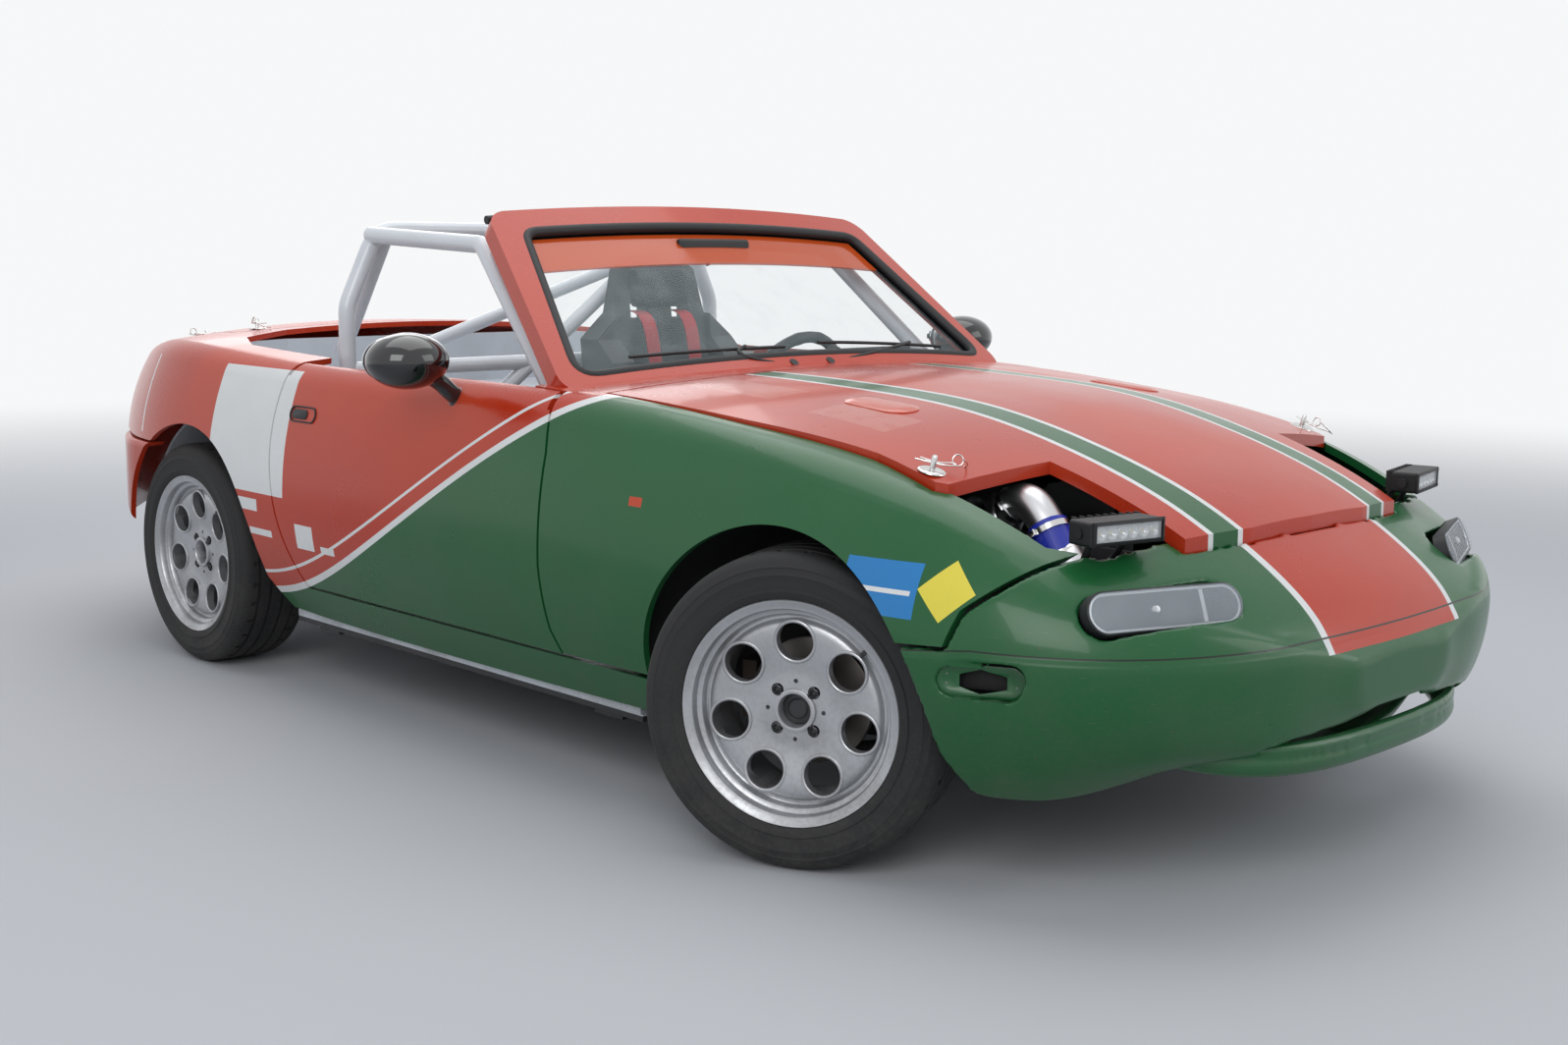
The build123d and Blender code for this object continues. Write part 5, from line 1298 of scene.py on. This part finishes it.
# Steering wheel: padded rim, three drilled spokes, hub with bolts and the column
steeringValues = {"centre": (-1.165, 0.345, 0.735), "tilt": 24, "radius": 0.165, "rim": 0.0150}
tilt = radians(steeringValues["tilt"])
wheelUp = Vector((-cos(tilt), 0, sin(tilt)))
across = Vector((0, 1, 0))
down = wheelUp.cross(across)
wheelTurn = Matrix((across, down, wheelUp)).transposed().to_4x4()
cx, cy, cz = steeringValues["centre"]
wheelMatrix = shiftBy((atX(cx), cy, cz)) @ wheelTurn
grip = startPiece("steeringGrip", bpy.ops.mesh.primitive_torus_add, major_radius=steeringValues["radius"],
                  minor_radius=steeringValues["rim"], major_segments=96, minor_segments=20)
pick(grip, "FACE",
     lambda place, normal: int((atan2(place.y, place.x) + 2 * pi) / (2 * pi / 96)) % 24 in (3, 20))
bpy.ops.transform.shrink_fatten(value=0.0012)
leaveEdit()
finishPiece(placeWith(grip, wheelMatrix), "steering", "wheelLeather", angle=60,
            replaces=("steering_wheel",))
spokes = []
for index in range(3):
    spoke = block("spoke", (0.034, -0.015, -0.0150), (0.158, 0.015, -0.0105), 0.0012)
    holes = [rodBetween("spokeHole", (reach, 0, -0.02), (reach, 0, 0.0), 0.0068, 20)
             for reach in (0.070, 0.094, 0.118)]
    cutter = joinPieces("spokeCutter", holes)
    carve(spoke, cutter)
    spokes.append(placeWith(spoke, rotated(pi / 2 + index * 2 * pi / 3, "Z")))
hub = lathe("steeringHub", ((0.0, -0.004), (0.020, -0.006), (0.024, -0.010), (0.036, -0.010), (0.038, -0.014),
                            (0.038, -0.022), (0.034, -0.026), (0.030, -0.052), (0.0, -0.054)), 40)
placeWith(hub, rotated(pi / 2, "X"))
column = rodBetween("column", (0, 0, -0.05), (0, 0, -0.178), 0.0200, 28)
bolts = []
for index in range(6):
    boltX, boltY = 0.030 * cos(index * pi / 3), 0.030 * sin(index * pi / 3)
    bolts.append(rodBetween("hubBolt", (boltX, boltY, -0.011), (boltX, boltY, -0.0065), 0.0034, 8))
hubPieces = joinPieces("steeringHub", spokes + [hub, column] + bolts)
finishPiece(placeWith(hubPieces, wheelMatrix), "steering", "blackPlastic", angle=35)

# Cabin: dials, gear lever, brake lever and pedals
dials = []
for y, radius, z in ((0.285, 0.045, 0.812), (0.405, 0.045, 0.812), (0.345, 0.022, 0.846), (0.02, 0.026, 0.745),
                     (0.09, 0.026, 0.745), (-0.05, 0.026, 0.745)):
    dial = lathe("dial", ((0.0, -0.001), (radius * 0.80, -0.001), (radius * 0.86, -0.012), (radius, -0.012),
                          (radius * 1.04, -0.008), (radius * 1.04, 0.010), (0.0, 0.010)), 36)
    needle = block("needle", (-0.0012, -0.004, 0.0), (0.0012, -0.0015, radius * 0.7))
    placeWith(needle, rotated(radians(-50), "Y"))
    depth = -1.008 if z > 0.78 else -1.002
    dials.append(placeWith(joinPieces("dial", [dial, needle]),
                           shiftBy((atX(depth), y, z)) @ aimed((1, 0, -0.35))))
finishPiece(joinPieces("dashDials", dials), "chassis", "blackPlastic")
boot = lathe("leverBoot", ((0.0, -0.075), (0.012, -0.074), (0.022, -0.055), (0.018, -0.048), (0.034, -0.030),
                           (0.030, -0.024), (0.050, 0.0), (0.0, 0.0)), 28)
placeWith(boot, shiftBy((atX(-1.245), 0, 0.415)) @ rotated(-pi / 2, "X"))
lever = rodBetween("gearLever", (atX(-1.245), 0, 0.480), (atX(-1.262), 0, 0.570), 0.0065)
knob = startPiece("gearKnob", bpy.ops.mesh.primitive_uv_sphere_add, segments=28, ring_count=18, radius=0.025,
                  location=(atX(-1.264), 0, 0.588))
resizePiece(knob, (0.9, 0.9, 1.12))
handBrake = tube("brakeLever", inCar((-1.37, 0.060, 0.420), (-1.42, 0.060, 0.440), (-1.58, 0.060, 0.475)),
                 0.0125)
finishPiece(joinPieces("cabinLevers", [boot, lever, knob, handBrake]), "chassis", "blackPlastic",
            angle=50)
pedals = []
for y, width in ((0.245, 0.05), (0.335, 0.055), (0.430, 0.045)):
    plate = block("pedalPlate", (-0.006, -width / 2, -0.045), (0.006, width / 2, 0.045), 0.003)
    placeWith(plate, shiftBy((atX(-0.600), y, 0.320)) @ rotated(radians(-28), "Y"))
    arm = tube("pedalArm", inCar((-0.592, y, 0.335), (-0.560, y, 0.450), (-0.500, y, 0.560)), 0.008)
    pedals += [plate, arm]
finishPiece(joinPieces("pedals", pedals), "chassis", "steel")
print("cabin done")

# Door handles: a recessed pill with its flap
for sideName, side in sides:
    place = (-0.449 - axleX, 0.8085, 0.7085)
    matrix = faceMatrix(place, 90, 15, side)
    cup = pill("doorHandle_" + sideName, 0.118, 0.040, -0.010, 0.0022)
    stepTop(cup, ((0.0028, 0.0006), (0.0022, -0.0070)))
    flap = pill("handleFlap", 0.070, 0.024, -0.006, 0.0010)
    stepTop(flap, ((0.002, 0.0012),))
    placeWith(flap, shiftBy((0.014 * side, 0.0, 0.0)))
    finishPiece(placeWith(joinPieces("doorHandle_" + sideName, [cup, flap]), matrix), "door_" + sideName,
                "blackPlastic", angle=40)

# Shallow scoops on the bonnet, roll cage feet and weld rings
scoops = []
for side in (1, -1):
    scoop = pill("bonnetScoop", 0.17, 0.085, -0.004, 0.0010)
    stepTop(scoop, ((0.012, 0.0040), (0.014, 0.0012)))
    scoops.append(placeWith(scoop, shiftBy((1.060, 0.405 * side, 0.8155))
                            @ rotated(radians(5), "Y") @ rotated(radians(-5 * side), "X")))
finishPiece(joinPieces("bonnetScoops", scoops), "bonnet", "orangePaint", angle=60)
feet = []
for side in (1, -1):
    for x, y in ((-1.778, 0.610), (-0.650, 0.640)):
        footX, footY = atX(x), side * y
        feet.append(block("cageFoot", (footX - 0.060, footY - 0.050, 0.1856),
                          (footX + 0.060, footY + 0.050, 0.1900), 0.002))
        for dx, dy in ((-0.045, -0.036), (0.045, -0.036), (-0.045, 0.036), (0.045, 0.036)):
            feet.append(rodBetween("cageBolt", (footX + dx, footY + dy, 0.189), (footX + dx, footY + dy, 0.198),
                                   0.0075, 6))
        ring = startPiece("cageWeld", bpy.ops.mesh.primitive_torus_add, major_radius=0.0215,
                          minor_radius=0.0032,
                          major_segments=32, minor_segments=8, location=(footX, footY, 0.1925))
        feet.append(ring)
finishPiece(joinPieces("cageFeet", feet), "chassis", "cagePaint")

# Tail lamps: round lights inside the red covers, and the silencer's bright tip
for sideName, side in sides:
    rings = []
    for y in (0.388, 0.462):
        ring = lathe("tailRing", ((0.020, -0.0020), (0.0285, -0.0035), (0.0315, -0.0020), (0.0315, 0.004),
                                  (0.020, 0.004), (0.020, -0.0020)), 40)
        rings.append(placeWith(ring, shiftBy((-1.9110, side * y, 0.650)) @ rotated(-pi / 2, "Z")))
    finishPiece(joinPieces("tailRings_" + sideName, rings), "chassis", "lampRed")
tip = lathe("exhaustTip", ((0.028, -0.060), (0.033, -0.062), (0.0345, -0.058), (0.0340, 0.040), (0.0312, 0.040),
                           (0.0300, -0.050), (0.028, -0.060)), 40)
placeWith(tip, shiftBy((atX(-3.100), -0.180, 0.250)) @ rotated(-pi / 2, "Z"))
finishPiece(tip, "chassis", "polished")
print("rear pieces done")
